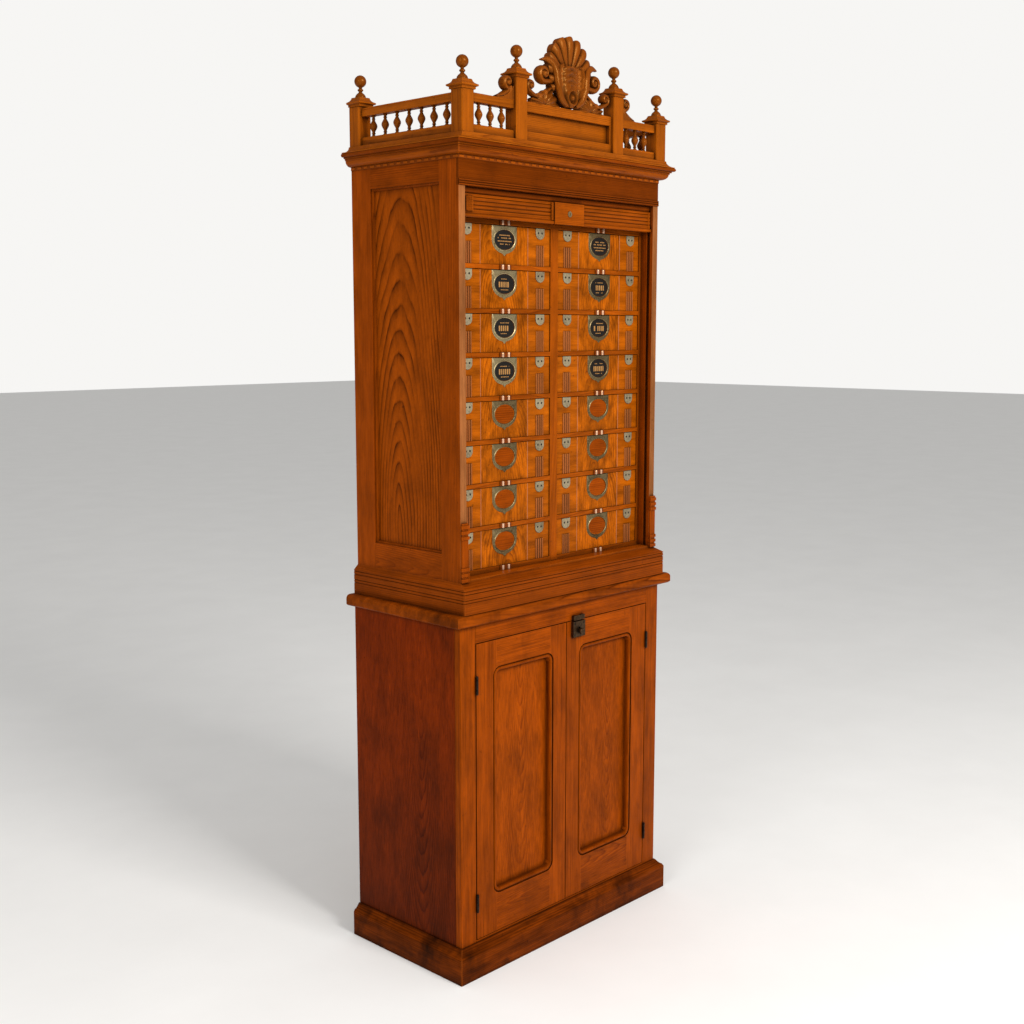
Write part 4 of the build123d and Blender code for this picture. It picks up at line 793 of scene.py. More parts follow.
# ------------------------------------------------------------------ joinery
@dataclass
class Joinery:
    """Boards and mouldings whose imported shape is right: each gets its own grain and eased edges."""

    boards: tuple[tuple[str, Wood, str, float], ...] = (
        ("base_plinth", Wood.DARK, "cabinet", 1.6),
        ("base_side_left", Wood.SIDE, "cabinet", 1.0),
        ("base_side_right", Wood.SIDE, "cabinet", 1.0),
        ("base_back", Wood.INSIDE, "cabinet", 0.0),
        ("base_face_frame", Wood.DOOR, "cabinet", 1.2),
        ("base_floor", Wood.INSIDE, "cabinet", 0.0),
        ("base_shelf", Wood.INSIDE, "cabinet", 0.8),
        ("base_counter", Wood.COUNTER, "cabinet", 0.0),
        ("left_door_frame", Wood.DOOR, "left_door", 1.6),
        ("left_door_panel", Wood.DOOR, "left_door", 0.0),
        ("right_door_frame", Wood.DOOR, "right_door", 1.6),
        ("right_door_panel", Wood.DOOR, "right_door", 0.0),
        ("waist_moulding", Wood.FRIEZE, "cabinet", 0.5),
        ("upper_side_frame_left", Wood.CASE, "cabinet", 0.8),
        ("upper_side_frame_right", Wood.CASE, "cabinet", 0.8),
        ("upper_side_panel_left", Wood.PANEL, "cabinet", 0.0),
        ("upper_side_panel_right", Wood.PANEL, "cabinet", 0.0),
        ("upper_back", Wood.INSIDE, "cabinet", 0.0),
        ("upper_floor", Wood.NEST, "cabinet", 0.6),
        ("nest_partitions", Wood.NEST, "cabinet", 0.6),
        ("nest_shelves", Wood.NEST, "cabinet", 0.5),
        ("cornice_cove", Wood.NEST, "cabinet", 0.0),
        ("cornice_board", Wood.FRIEZE, "cabinet", 0.0),
        ("gallery_base", Wood.GALLERY, "cabinet", 0.5),
        ("gallery_posts", Wood.GALLERY, "cabinet", 0.6),
        ("gallery_rails", Wood.GALLERY, "cabinet", 1.6),
        ("crest_panel", Wood.GALLERY, "cabinet", 0.7),
    )
    dentil_reach: float = 20.0
    beads: int = 3
    bead_share: float = 0.44
    bead_rise: float = 2.8
    panel_tilt: float = 0.17
    panel_heart: float = 0.076
    peg_pitch: float = 20.5
    peg_radius: float = 3.6
    peg_proud: float = 2.4
    arched: tuple[str, ...] = ("upper_side_panel_left", "upper_side_panel_right")

    def build(self) -> None:
        """Makes every board and moulding."""
        for node, finish, body, edge in self.boards:
            parts = parts_of(node)
            if node in self.arched:
                for part in parts:
                    part.grain = grain_of(part.points, seed_of(node), Axis.Z, tilt=self.panel_tilt,
                                          heart=self.panel_heart)
            piece(f"{node}_boards", parts, finish, body, SLOTS[node], edge, [node])
        self.build_frieze()
        self.build_rail_blocks()
        self.build_dentils()

    def build_frieze(self) -> None:
        """Plain frieze board, and three half-round beads along its foot."""
        node = "frieze"
        strip, board = sorted(parts_of(node), key=lambda part: part.size()[2])
        low, high = strip.box()
        pitch = (high[2] - low[2]) / self.beads
        angle = np.linspace(0, math.pi, 9)
        z = np.concatenate([low[2] + pitch * (k + 0.5 - self.bead_share * np.cos(angle))
                            for k in range(self.beads)])
        rise = np.tile(0.2 + self.bead_rise * np.sin(angle), self.beads)
        face = BACK - high[1]
        z = np.concatenate([[low[2]], z, [high[2]]])
        rise = np.concatenate([[-1.0], rise, [-1.0]])
        x = np.array([low[0], low[0] + 0.4, high[0] - 0.4, high[0]])[:, None]
        reeded = loft(placed(x, face + rise[None], z[None]), 0.7)
        piece("frieze_board", [board], Wood.CORNICE, "cabinet", SLOTS[node], stands_for=[node])
        piece("architrave_beads", [reeded], Wood.CORNICE, "cabinet", SLOTS[node], axis=Axis.X)

    def build_rail_blocks(self) -> None:
        """Small block on every rail, and the two polished pegs that stand in front of it, drawn pale as a
        painted highlight.
        """
        node = "rail_blocks"
        angle = around(16)
        blocks, pegs = [], []
        for part in parts_of(node):
            low, high = part.box()
            back, face = BACK - high[1], BACK - low[1]
            blocks.append(block(low[0], high[0], back, face - self.peg_proud, low[2], high[2], 0.4))
            levels = np.array([low[2], low[2] + 0.8, high[2] - 0.8, high[2]])[:, None]
            girth = self.peg_radius * np.array([0.86, 1.0, 1.0, 0.86])[:, None]
            for hand in (-0.5, 0.5):
                x = (low[0] + high[0]) / 2 + hand * self.peg_pitch
                depth = face - self.peg_radius + girth * np.sin(angle)
                pegs.append(loft(placed(x + girth * np.cos(angle), depth, levels), 0.6))
        piece("rail_block_blocks", blocks, Wood.BEAD, "cabinet", SLOTS[node], stands_for=[node])
        piece("rail_block_pegs", pegs, Wood.PEG, "cabinet", SLOTS[node], axis=Axis.Z)

    def build_dentils(self) -> None:
        """The dentil course: a band made dark as painted shade in the gaps, and paler, rubbed blocks."""
        node = "dentil_course"
        shapes = parts_of(node)
        blocks = [part for part in shapes if part.size().max() < self.dentil_reach]
        for part in blocks:
            part.tone = 0.6
        gap_shade_bands = [part for part in shapes if part.size().max() >= self.dentil_reach]
        # painted shade: the band behind the blocks takes the dark finish so the gaps between them read dark
        piece("dentil_bands", gap_shade_bands, Wood.DARK, "cabinet", SLOTS[node], stands_for=[node])
        piece("dentil_blocks", blocks, Wood.NEST, "cabinet", SLOTS[node], edge=0.4, axis=Axis.X)


@dataclass
class SideBeads:
    """Quarter-round bead around each sunk side panel of the upper case."""

    reach: float = 6.0
    lap: float = 8.0

    def build(self) -> None:
        """One bead on each side."""
        angle = np.linspace(0, math.pi / 2, 5)
        inward = np.append(self.reach * np.sin(angle), 0.0)
        outward = np.append(self.reach * np.cos(angle), 0.0)
        for side in Side:
            name = side.name.lower()
            node = f"upper_side_panel_{name}"
            low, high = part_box(node)
            face = (low[0] if side is Side.LEFT else high[0]) / MM
            depth0, depth1 = BACK - high[1] / MM + self.lap, BACK - low[1] / MM - self.lap
            z0, z1 = low[2] / MM + self.lap, high[2] / MM - self.lap
            corners = ((depth0, z0, 1, 1), (depth1, z0, -1, 1), (depth1, z1, -1, -1), (depth0, z1, 1, -1))
            rings = [placed(face + side.value * outward, depth + in_depth * inward, z + in_z * inward)
                     for depth, z, in_depth, in_z in corners]
            bead = grid(np.stack(rings), wrap_rows=True, wrap_cols=True, tone=0.35)
            piece(f"side_panel_bead_{name}", [bead], Wood.CASE, "cabinet", SLOTS[node], axis=Axis.Z)


@dataclass
class DoorMoulding:
    """Rolled bead that runs round the sight opening of each cupboard door."""

    radius: float = 4.6
    corner: float = 17.0
    sink: float = 3.4
    rebate: float = 8.0

    def path(self, x0: float, x1: float, z0: float, z1: float) -> tuple[np.ndarray, np.ndarray]:
        """Points round a rectangle with rounded corners, and the way out at each.

        Args:
            x0: left side.
            x1: right side.
            z0: foot.
            z1: head.

        Returns:
            The points, and the outward direction at each of them.
        """
        angle = np.linspace(0, math.pi / 2, 7)
        points, outward = [], []
        for number, (x, z) in enumerate(((x1, z1), (x0, z1), (x0, z0), (x1, z0))):
            turn = angle + number * math.pi / 2
            way = np.stack([np.cos(turn), np.sin(turn)], -1)
            centre = np.array([x - math.copysign(self.corner, x - (x0 + x1) / 2),
                               z - math.copysign(self.corner, z - (z0 + z1) / 2)])
            points.append(centre + self.corner * way)
            outward.append(way)
        return np.vstack(points), np.vstack(outward)

    def build(self) -> None:
        """One moulding on each door, measured from its panel."""
        for side in Side:
            name = side.name.lower()
            low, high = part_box(f"{name}_door_panel")
            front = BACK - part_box(f"{name}_door_frame")[0][1] / MM
            lap = self.rebate - self.radius
            x0, x1, z0, z1 = (v / MM for v in (low[0], high[0], low[2], high[2]))
            path, out = self.path(x0 + lap, x1 - lap, z0 + lap, z1 - lap)
            turn = around(12)
            x = path[:, :1] + out[:, :1] * self.radius * np.cos(turn)
            z = path[:, 1:] + out[:, 1:] * self.radius * np.cos(turn)
            depth = front - self.sink - self.radius * 0.2 + self.radius * np.sin(turn)[None]
            bead = grid(placed(x, depth, z), wrap_rows=True, wrap_cols=True, tone=0.42)
            piece(f"{name}_door_moulding", [bead], Wood.DOOR, f"{name}_door", SLOTS[f"{name}_door_frame"],
                  axis=Axis.Z)


@dataclass
class Hardware:
    """Hinges and the cupboard catch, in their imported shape, and the screws of the catch."""

    items: tuple[tuple[str, Metal], ...] = (
        ("case_hinge_leaves", Metal.IRON), ("left_door_hinge_leaves", Metal.IRON),
        ("right_door_hinge_leaves", Metal.IRON), ("catch_case", Metal.BRONZE), ("catch_bolt", Metal.BRONZE),
        ("catch_keeper", Metal.BRONZE))
    screw_radius: float = 2.6
    screw_inset: float = 6.0

    def build(self) -> None:
        """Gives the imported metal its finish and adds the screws."""
        for node, finish in self.items:
            mesh = frame["nodes"][node].data
            mesh.materials.clear()
            mesh.materials.append(Finishes.of(finish))
        low, high = (np.array(corner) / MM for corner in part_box("catch_case"))
        front = BACK - low[1]
        radius = self.screw_radius
        dome = np.array([(radius, -0.4), (radius, 0.2), (radius * 0.75, 0.7), (radius * 0.3, 0.95)])
        inset = self.screw_inset
        screws = [boss(dome, x, front, z, 14) for x in (low[0] + inset, high[0] - inset)
                  for z in (low[2] + inset, high[2] - inset)]
        piece("catch_screws", screws, Metal.IRON, "right_door", SLOTS["catch_case"])


# ------------------------------------------------------------------ drawers
@dataclass
class FileDrawer:
    """One file drawer: veneered front, tray, brass label shield, clip plates and reeded strips."""

    side: Side
    row: int
    printed_rows: int = 4
    joint: float = 82.3
    string_width: float = 1.6
    reed_width: float = 30.0
    reeds: int = 4
    reed_drop: float = 41.0
    reed_share: float = 0.36
    reed_rise: float = 2.1
    clip_offset: float = 126.0
    hole: float = 2.45
    hole_offset: float = 6.5
    hole_drop: float = 10.8
    clip_proud: float = 1.5
    front_depths: tuple[float, float] = (10.0, 20.0)
    tray_back_width: float = 200.0
    bedding: float = 6.0
    heart: float = 0.028
    shield_half: float = 43.0
    shield_deep: float = 33.0
    shield_nib: float = 38.5
    window_drop: float = 32.5
    window: tuple[float, float] = (35.0, 24.0)

    def __post_init__(self) -> None:
        """Finds the drawer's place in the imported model."""
        self.name = f"drawer_{self.side.name.lower()}_{self.row}"
        self.shapes = parts_of(self.name)
        self.front = BACK - min(p.points[:, 1].min() for p in self.shapes) / MM - self.clip_proud
        thin, thick = self.front_depths
        self.boards = [p for p in self.shapes if thin < p.size()[1] < thick]
        points = np.vstack([p.points for p in self.boards]) / MM
        self.centre = (points[:, 0].min() + points[:, 0].max()) / 2
        self.low, self.top = points[:, 2].min(), points[:, 2].max()
        self.rng = np.random.default_rng(seed_of(self.name))

    def make(self, label: str, parts: list[Part], finish: Wood | Metal, **more: Any) -> None:
        """One piece of this drawer."""
        piece(f"{self.name}_{label}", parts, finish, self.name, SLOTS[self.name], **more)

    def build_boards(self) -> None:
        """Front boards with their grain, and the tray behind them."""
        ends = [p for p in self.boards if p.size()[0] < self.joint]
        middle = [p for p in self.boards if p.size()[0] >= self.joint]
        for part in middle:
            part.grain = grain_of(part.points, seed_of(self.name + "figure"), Axis.Z,
                                  tilt=self.rng.uniform(0.25, 0.5), heart=self.heart)
        self.make("front", middle, Wood.VENEER, edge=0.5, stands_for=[self.name])
        self.make("ends", ends, Wood.BANDING, edge=0.5, axis=Axis.X)
        thin, thick = self.front_depths
        tray = [p for p in self.shapes if p.size()[1] > thick
                or (p.size()[0] > self.tray_back_width and p.size()[1] < thin)]
        self.make("tray", tray, Wood.TRAY, edge=0.5)

    def build_reeds(self) -> None:
        """Reeded strip under each clip plate, and the inlaid strings at the joints."""
        pitch = self.reed_width / self.reeds
        angle = np.linspace(0, math.pi, 7)
        x = np.concatenate([pitch * (k + 0.5) - pitch * self.reed_share * np.cos(angle)
                            for k in range(self.reeds)])
        rise = np.tile(0.25 + self.reed_rise * np.sin(angle), self.reeds)
        x = np.concatenate([[0.0], x, [self.reed_width]])
        rise = np.concatenate([[-self.bedding], rise, [-self.bedding]])
        strips = []
        for offset in (-self.clip_offset, self.clip_offset):
            left = self.centre + offset - self.reed_width / 2
            levels = np.array([self.low + 0.2, self.low + 0.5, self.top - self.reed_drop - 0.5,
                               self.top - self.reed_drop])[:, None]
            lift = np.array([0.8, 1.0, 1.0, 0.8])[:, None]
            strips.append(loft(placed(left + x[None], self.front + rise[None] * lift, levels)))
        strings = []
        for offset in (-self.joint, self.joint):
            x0 = self.centre + offset - self.string_width / 2
            x1 = self.centre + offset + self.string_width / 2
            strings.append(block(x0, x1, self.front - self.bedding, self.front + 0.5, self.low + 0.3,
                                 self.top - 0.3, 0.25, tone=0.95))
        self.make("reeds", strips, Wood.REED, axis=Axis.Z)
        self.make("strings", strings, Wood.STRING, axis=Axis.Z)

    def shield_edge(self, angle: np.ndarray, inset: float) -> tuple[np.ndarray, np.ndarray]:
        """The shield's outline where rays from the window's centre meet it.

        The outline is straight across the top and down each side to the window's middle; below
        it half an oval runs to a small nib.

        Args:
            angle: direction of each ray.
            inset: how far the outline is drawn in from the shield's edge.

        Returns:
            x and z of each meeting point, from the window's centre.
        """
        half, deep, nib = (reach - inset for reach in (self.shield_half, self.shield_deep, self.shield_nib))
        turn = np.linspace(0, math.pi / 2 - 0.15, 18)
        right = half * np.cos(turn)
        x = np.concatenate([[0.0, half], right, [0.0], -right[::-1], [-half, 0.0]])
        top = self.window_drop - inset
        z = np.concatenate([[top, top], -deep * np.sin(turn), [-nib], -deep * np.sin(turn[::-1]), [top, top]])
        ray = np.stack([np.cos(angle), np.sin(angle)], -1)
        start = np.stack([x[:-1], z[:-1]], -1)
        run = np.stack([np.diff(x), np.diff(z)], -1)
        cross = ray[:, None, 0] * run[None, :, 1] - ray[:, None, 1] * run[None, :, 0]
        cross = np.where(abs(cross) < 1e-9, 1e-9, cross)
        along = (start[None, :, 0] * run[None, :, 1] - start[None, :, 1] * run[None, :, 0]) / cross
        share = (start[None, :, 0] * ray[:, None, 1] - start[None, :, 1] * ray[:, None, 0]) / cross
        hit = np.where((share >= -1e-6) & (share <= 1 + 1e-6) & (along > 0), along, 1e6).min(1)
        return hit * ray[:, 0], hit * ray[:, 1]

    def build_brass(self) -> None:
        """Label shield with its raised oval rim, and the two clip plates with their screw holes."""
        corner = [math.atan2(self.window_drop, x) for x in (self.shield_half, -self.shield_half)]
        angle = np.sort(np.concatenate([around(56), corner]))
        inner = np.stack([self.window[0] * np.cos(angle), self.window[1] * np.sin(angle)], -1)
        radius = np.linalg.norm(inner, axis=1, keepdims=True)
        edge = np.stack(self.shield_edge(angle, 0.0), -1)
        ease = np.stack(self.shield_edge(angle, 0.7), -1)
        foot = inner * (1 + 3.0 / radius)
        foot = np.where(np.linalg.norm(foot, axis=1, keepdims=True)
                        > np.linalg.norm(ease, axis=1, keepdims=True) - 0.3, ease * 0.995, foot)
        crown = (inner + foot) / 2
        rings = [(inner, -0.2), (inner, 1.5), (crown, 2.2), (foot, 1.1), (ease, 1.0), (edge, 0.5),
                 (edge, -0.2)]
        z = self.top - self.window_drop
        shield = grid(np.stack([placed(self.centre + ring[:, 0], self.front + rise, z + ring[:, 1])
                                for ring, rise in rings]), wrap_rows=True, wrap_cols=True)
        finish = Metal.BRASS if self.side is Side.LEFT and self.row <= self.printed_rows else Metal.OLIVE
        self.make("shield", [shield], finish)
        clips = [p for p in self.shapes if p.size()[0] < 40 and p.size()[2] < 30]
        self.make("clips", clips, Metal.CLIP, edge=0.3)

    def dome(self, share: float, rise: float) -> Part:
        """Low oval dome in the shield's window."""
        angle = around(48)
        reach = share * np.array([1.0, 1.0, 0.94, 0.7, 0.35])[:, None]
        lift = np.array([-self.bedding / rise, 0.2, 0.55, 0.85, 1.0])[:, None] * rise
        x = self.centre + self.window[0] * reach * np.cos(angle)
        z = self.top - self.window_drop + self.window[1] * reach * np.sin(angle)
        return loft(placed(x, self.front + lift, z))

    def build_label(self) -> None:
        """Enamelled or plain wooden disc in the window, the gilt strokes on it, and the clip screws."""
        recess = np.array([(self.hole, -0.1), (self.hole, 1.6), (1.2, 1.5)])
        dark = [boss(recess, self.centre + offset + hole, self.front, self.top - self.hole_drop, 12)
                for offset in (-self.clip_offset, self.clip_offset)
                for hole in (-self.hole_offset, self.hole_offset)]
        if self.row > self.printed_rows:
            disc = self.dome(0.93, 0.3)
            disc.tone = self.rng.uniform(0.0, 0.8)
            self.make("disc", [disc], Wood.CASE, axis=Axis.X)
            self.make("screws", dark, Metal.ENAMEL)
            return
        self.make("label", [self.dome(0.97, 0.9)] + dark, Metal.ENAMEL)
        strokes = []
        z = self.top - self.window_drop
        lines = ((10.5, 17.0, 2.6), (4.0, 23.0, 2.8), (-3.5, 23.0, 2.8), (-10.5, 16.0, 2.6))
        if self.row > 1:
            lines = ((11.5, 15.0, 2.2), (-1.5, 20.0, 13.0), (-14.0, 13.0, 2.2))
        for height, reach, tall in lines:
            x = -reach
            while x < reach:
                wide = self.rng.uniform(2.0, 4.6) if tall < 5 else self.rng.uniform(3.2, 5.4)
                if self.rng.random() > 0.16:
                    strokes.append(block(self.centre + x, self.centre + min(x + wide, reach + 1),
                                         self.front + 0.35, self.front + 1.12, z + height - tall / 2,
                                         z + height + tall / 2, 0.3))
                x += wide + (1.3 if tall < 5 else 2.6)
        self.make("gilding", strokes, Metal.GILT)

    def build(self) -> None:
        """Makes every piece of the drawer."""
        self.build_boards()
        self.build_reeds()
        self.build_brass()
        self.build_label()


# ------------------------------------------------------------------ roll shutter
@dataclass
class RollShutter:
    """Slatted shutter: its lead bar, lock block, fluted block and escutcheon, and the slats above."""

    pitch: float = 19.5
    travel: float = 842.0
    gather_low: float = 1900.6
    gather_high: float = 1980.0
    steps: int = 7
    reeds: int = 3
    plain: float = 10.0
    border: float = 6.0
    foot: float = 8.0
    tongue: float = 6.0
    slat_share: float = 0.96
    slat_rise: float = 3.6
    table_rows: int = 4000
    flutes: int = 3
    flute_depth: float = 1.6
    notch_offset: float = 9.0
    notch_pitch: float = 3.6
    notch_width: float = 2.4

    def build_slats(self) -> None:
        """The slats, drawn true when they are down and gathered above when they are up.

        A point that is down at height h is up at the height r for which r - w(r) * travel = h,
        where w runs smoothly from 0 at the top of the gather to 1 at its foot. That is solved by
        looking h up in a table of r.
        """
        low, high = (np.array(corner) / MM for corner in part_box("tambour_curtain"))
        foot = low[2]
        count = int((self.gather_high - foot + self.travel) / self.pitch)
        phase = np.linspace(0, 1, self.steps)
        down = foot - self.travel + self.pitch * (np.arange(count)[:, None] + phase[None] * self.slat_share)
        bulge = np.sin(math.pi * phase) ** 0.5
        down = np.minimum(down.ravel(), self.gather_high)
        rise = np.linspace(foot, self.gather_high, self.table_rows)
        t = np.clip((self.gather_high - rise) / (self.gather_high - self.gather_low), 0, 1)
        z = np.interp(down, rise - t * t * (3 - 2 * t) * self.travel, rise)
        front = BACK - low[1]
        back = BACK - high[1]
        swell = np.tile(bulge, count) * self.slat_rise + front - 4.0
        x = np.array([low[0], high[0]])[None]
        face = placed(x, swell[:, None], z[:, None])
        rear = placed(x, back + 0 * swell[:, None], z[:, None])
        loop = np.concatenate([face[:, :1], face[:, 1:], rear[:, 1:], rear[:, :1]], 1)
        slats = loft(loop, 0.3)
        item = piece("shutter_slats", [slats], Wood.FRIEZE, "", SLOTS["tambour_curtain"],
                     stands_for=["tambour_curtain"], axis=Axis.X)
        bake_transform(item)

    def build_bar(self) -> None:
        """Lead bar: reeded face between two borders, with a lip along its foot."""
        low, high = (np.array(corner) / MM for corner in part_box("tambour_bar"))
        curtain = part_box("tambour_curtain")
        half = curtain[1][0] / MM
        back, lip = BACK - high[1], BACK - low[1]
        face = lip - 4.0
        z0, z1 = low[2], high[2]
        reed_foot = z0 + self.foot + self.plain
        pitch = (z1 - self.border - reed_foot) / self.reeds
        angle = np.linspace(0, math.pi, 7)
        reed_z = np.concatenate([reed_foot + pitch * (k + 0.5) - 0.46 * pitch * np.cos(angle)
                                 for k in range(self.reeds)])
        reed_d = np.tile(face - 2.6 + 2.8 * np.sin(angle), self.reeds)
        lip_z = z0 + np.array([0.0, 0.0, 1.5, 4.0, 6.5, self.foot])
        lip_d = np.array([back, lip - 2.0, lip - 0.4, lip, lip - 0.5, lip - 2.2])
        z = np.concatenate([lip_z, [z0 + self.foot + 0.4, reed_foot - 0.8, reed_foot - 0.2], reed_z,
                            [z1 - self.border + 0.3, z1 - 0.8, z1, z1]])
        depth = np.concatenate([lip_d, [face, face, face - 2.6], reed_d, [face, face, face - 0.8, back]])
        x = np.array([-half, -half + 0.6, half - 0.6, half])[:, None]
        bar = loft(placed(x, depth[None], z[None]), 0.45)
        ends = [block(end - self.tongue, end + self.tongue, back + 2.0, back + 9.0, z0 + 2.0, z1 - 2.0)
                for end in (-half, half)]
        piece("lead_bar", [bar] + ends, Wood.NEST, "tambour", SLOTS["tambour_bar"],
              stands_for=["tambour_bar"], axis=Axis.X)

    def build_blocks(self) -> None:
        """Plain lock block, fluted end block and brass escutcheon with a keyhole."""
        shapes = sorted(parts_of("tambour_lock"), key=lambda part: part.size()[0])
        plate, flutes, lock = shapes
        low, high = flutes.box()
        flute = np.linspace(0, 1, 25)
        x = low[0] + (high[0] - low[0]) * flute
        depth = BACK - low[1] - self.flute_depth * abs(np.sin(self.flutes * math.pi * flute)) ** 0.6
        x = np.concatenate([[x[0]], x, [x[-1]]])
        depth = np.concatenate([[BACK - high[1]], depth, [BACK - high[1]]])
        z = np.array([low[2], low[2] + 0.5, high[2] - 0.5, high[2]])[:, None]
        fluted = loft(placed(x[None], depth[None], z), 0.1)
        lock.tone = 0.3
        body_low, body_high = lock.box()
        notches = []
        for number in (0, 1):
            x = body_low[0] - self.notch_offset + self.notch_pitch * number
            notches.append(block(x, x + self.notch_width, BACK - body_high[1], BACK - body_low[1] - 2.5,
                                 body_low[2] + self.notch_offset, body_high[2] - 1.0, tone=0.2))
        piece("lock_block", [lock, fluted] + notches, Wood.NEST, "tambour", SLOTS["tambour_lock"], edge=0.8,
              stands_for=["tambour_lock"], axis=Axis.X)
        piece("escutcheon", [plate], Metal.BRASS, "tambour", SLOTS["tambour_lock"], edge=0.2)

    def build(self) -> None:
        """Makes the whole shutter."""
        self.build_slats()
        self.build_bar()
        self.build_blocks()


# ------------------------------------------------------------------ gallery
@dataclass
class Gallery:
    """Turned and capped work of the gallery: spindles, square caps and ball finials."""

    ball: float = 14.5
    ball_height: float = 38.5

    def places(self, node: str) -> list[np.ndarray]:
        """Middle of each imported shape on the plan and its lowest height, in millimetres."""
        found = []
        for part in parts_of(node):
            low, high = part.box()
            found.append(np.array([(low[0] + high[0]) / 2, BACK - (low[1] + high[1]) / 2, low[2], high[2]]))
        return found

    def build_spindles(self) -> None:
        """Vase-shaped spindles with a ringed foot and head."""
        half = np.array([(4.6, -0.5), (5.2, 0.6), (5.2, 2.2), (4.0, 3.2), (3.3, 4.4), (3.3, 5.6),
                         (4.4, 6.6), (4.9, 7.6), (4.2, 8.6), (3.4, 9.8), (3.9, 12.0), (5.2, 14.6),
                         (7.2, 18.0), (8.6, 21.2), (9.1, 23.6)])
        profile = np.vstack([half, [(9.2, 24.5)], np.stack([half[::-1, 0], 49.0 - half[::-1, 1]], -1)])
        turned = [lathe(profile, x, depth, z, 18) for x, depth, z, _ in self.places("gallery_spindles")]
        piece("turned_spindles", turned, Wood.CARVED, "cabinet", SLOTS["gallery_spindles"],
              stands_for=["gallery_spindles"], axis=Axis.Z)

    def build_caps(self) -> None:
        """Square caps: neck, rounded brim, then a hollow roof."""
        profile = np.array([(20.0, 0.0), (21.5, 0.4), (21.5, 5.2), (22.6, 6.0), (24.8, 6.6), (26.2, 7.8),
                            (26.5, 9.4), (26.2, 10.8), (25.0, 11.6), (22.5, 12.6), (19.8, 14.4),
                            (17.6, 17.0), (16.2, 20.0), (15.6, 22.4), (14.6, 23.0)])
        caps = [lathe(profile, x, depth, z, 32, square=True) for x, depth, z, _ in self.places("post_caps")]
        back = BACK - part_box("post_caps")[1][1] / MM
        for cap in caps:
            cap.points[:, 1] = np.minimum(cap.points[:, 1], (BACK - back) * MM)
        piece("moulded_caps", caps, Wood.GALLERY, "cabinet", SLOTS["post_caps"], stands_for=["post_caps"],
              axis=Axis.X)

    def build_finials(self) -> None:
        """Ball finials on a spreading foot and a ringed neck."""
        foot = [(13.0, -0.3), (13.0, 1.2), (12.6, 3.4), (11.6, 5.6), (9.8, 8.0), (7.4, 10.2), (5.4, 11.6),
                (4.3, 13.2), (4.4, 14.8), (5.8, 15.8), (6.9, 17.0), (7.0, 18.6), (6.2, 20.0), (4.6, 21.0),
                (3.9, 22.4), (4.3, 24.0)]
        turn = np.linspace(-1.2, math.pi / 2 - 0.06, 16)
        ball = np.stack([self.ball * np.cos(turn), self.ball_height + self.ball * np.sin(turn)], -1)
        profile = np.vstack([foot, ball])
        turned = [lathe(profile, x, depth, z, 28) for x, depth, _, z in self.places("post_caps")]
        piece("ball_finials", turned, Wood.CARVED, "cabinet", SLOTS["post_finials"],
              stands_for=["post_finials"], axis=Axis.Z)

    def build(self) -> None:
        """Makes the turned and capped work."""
        self.build_spindles()
        self.build_caps()
        self.build_finials()


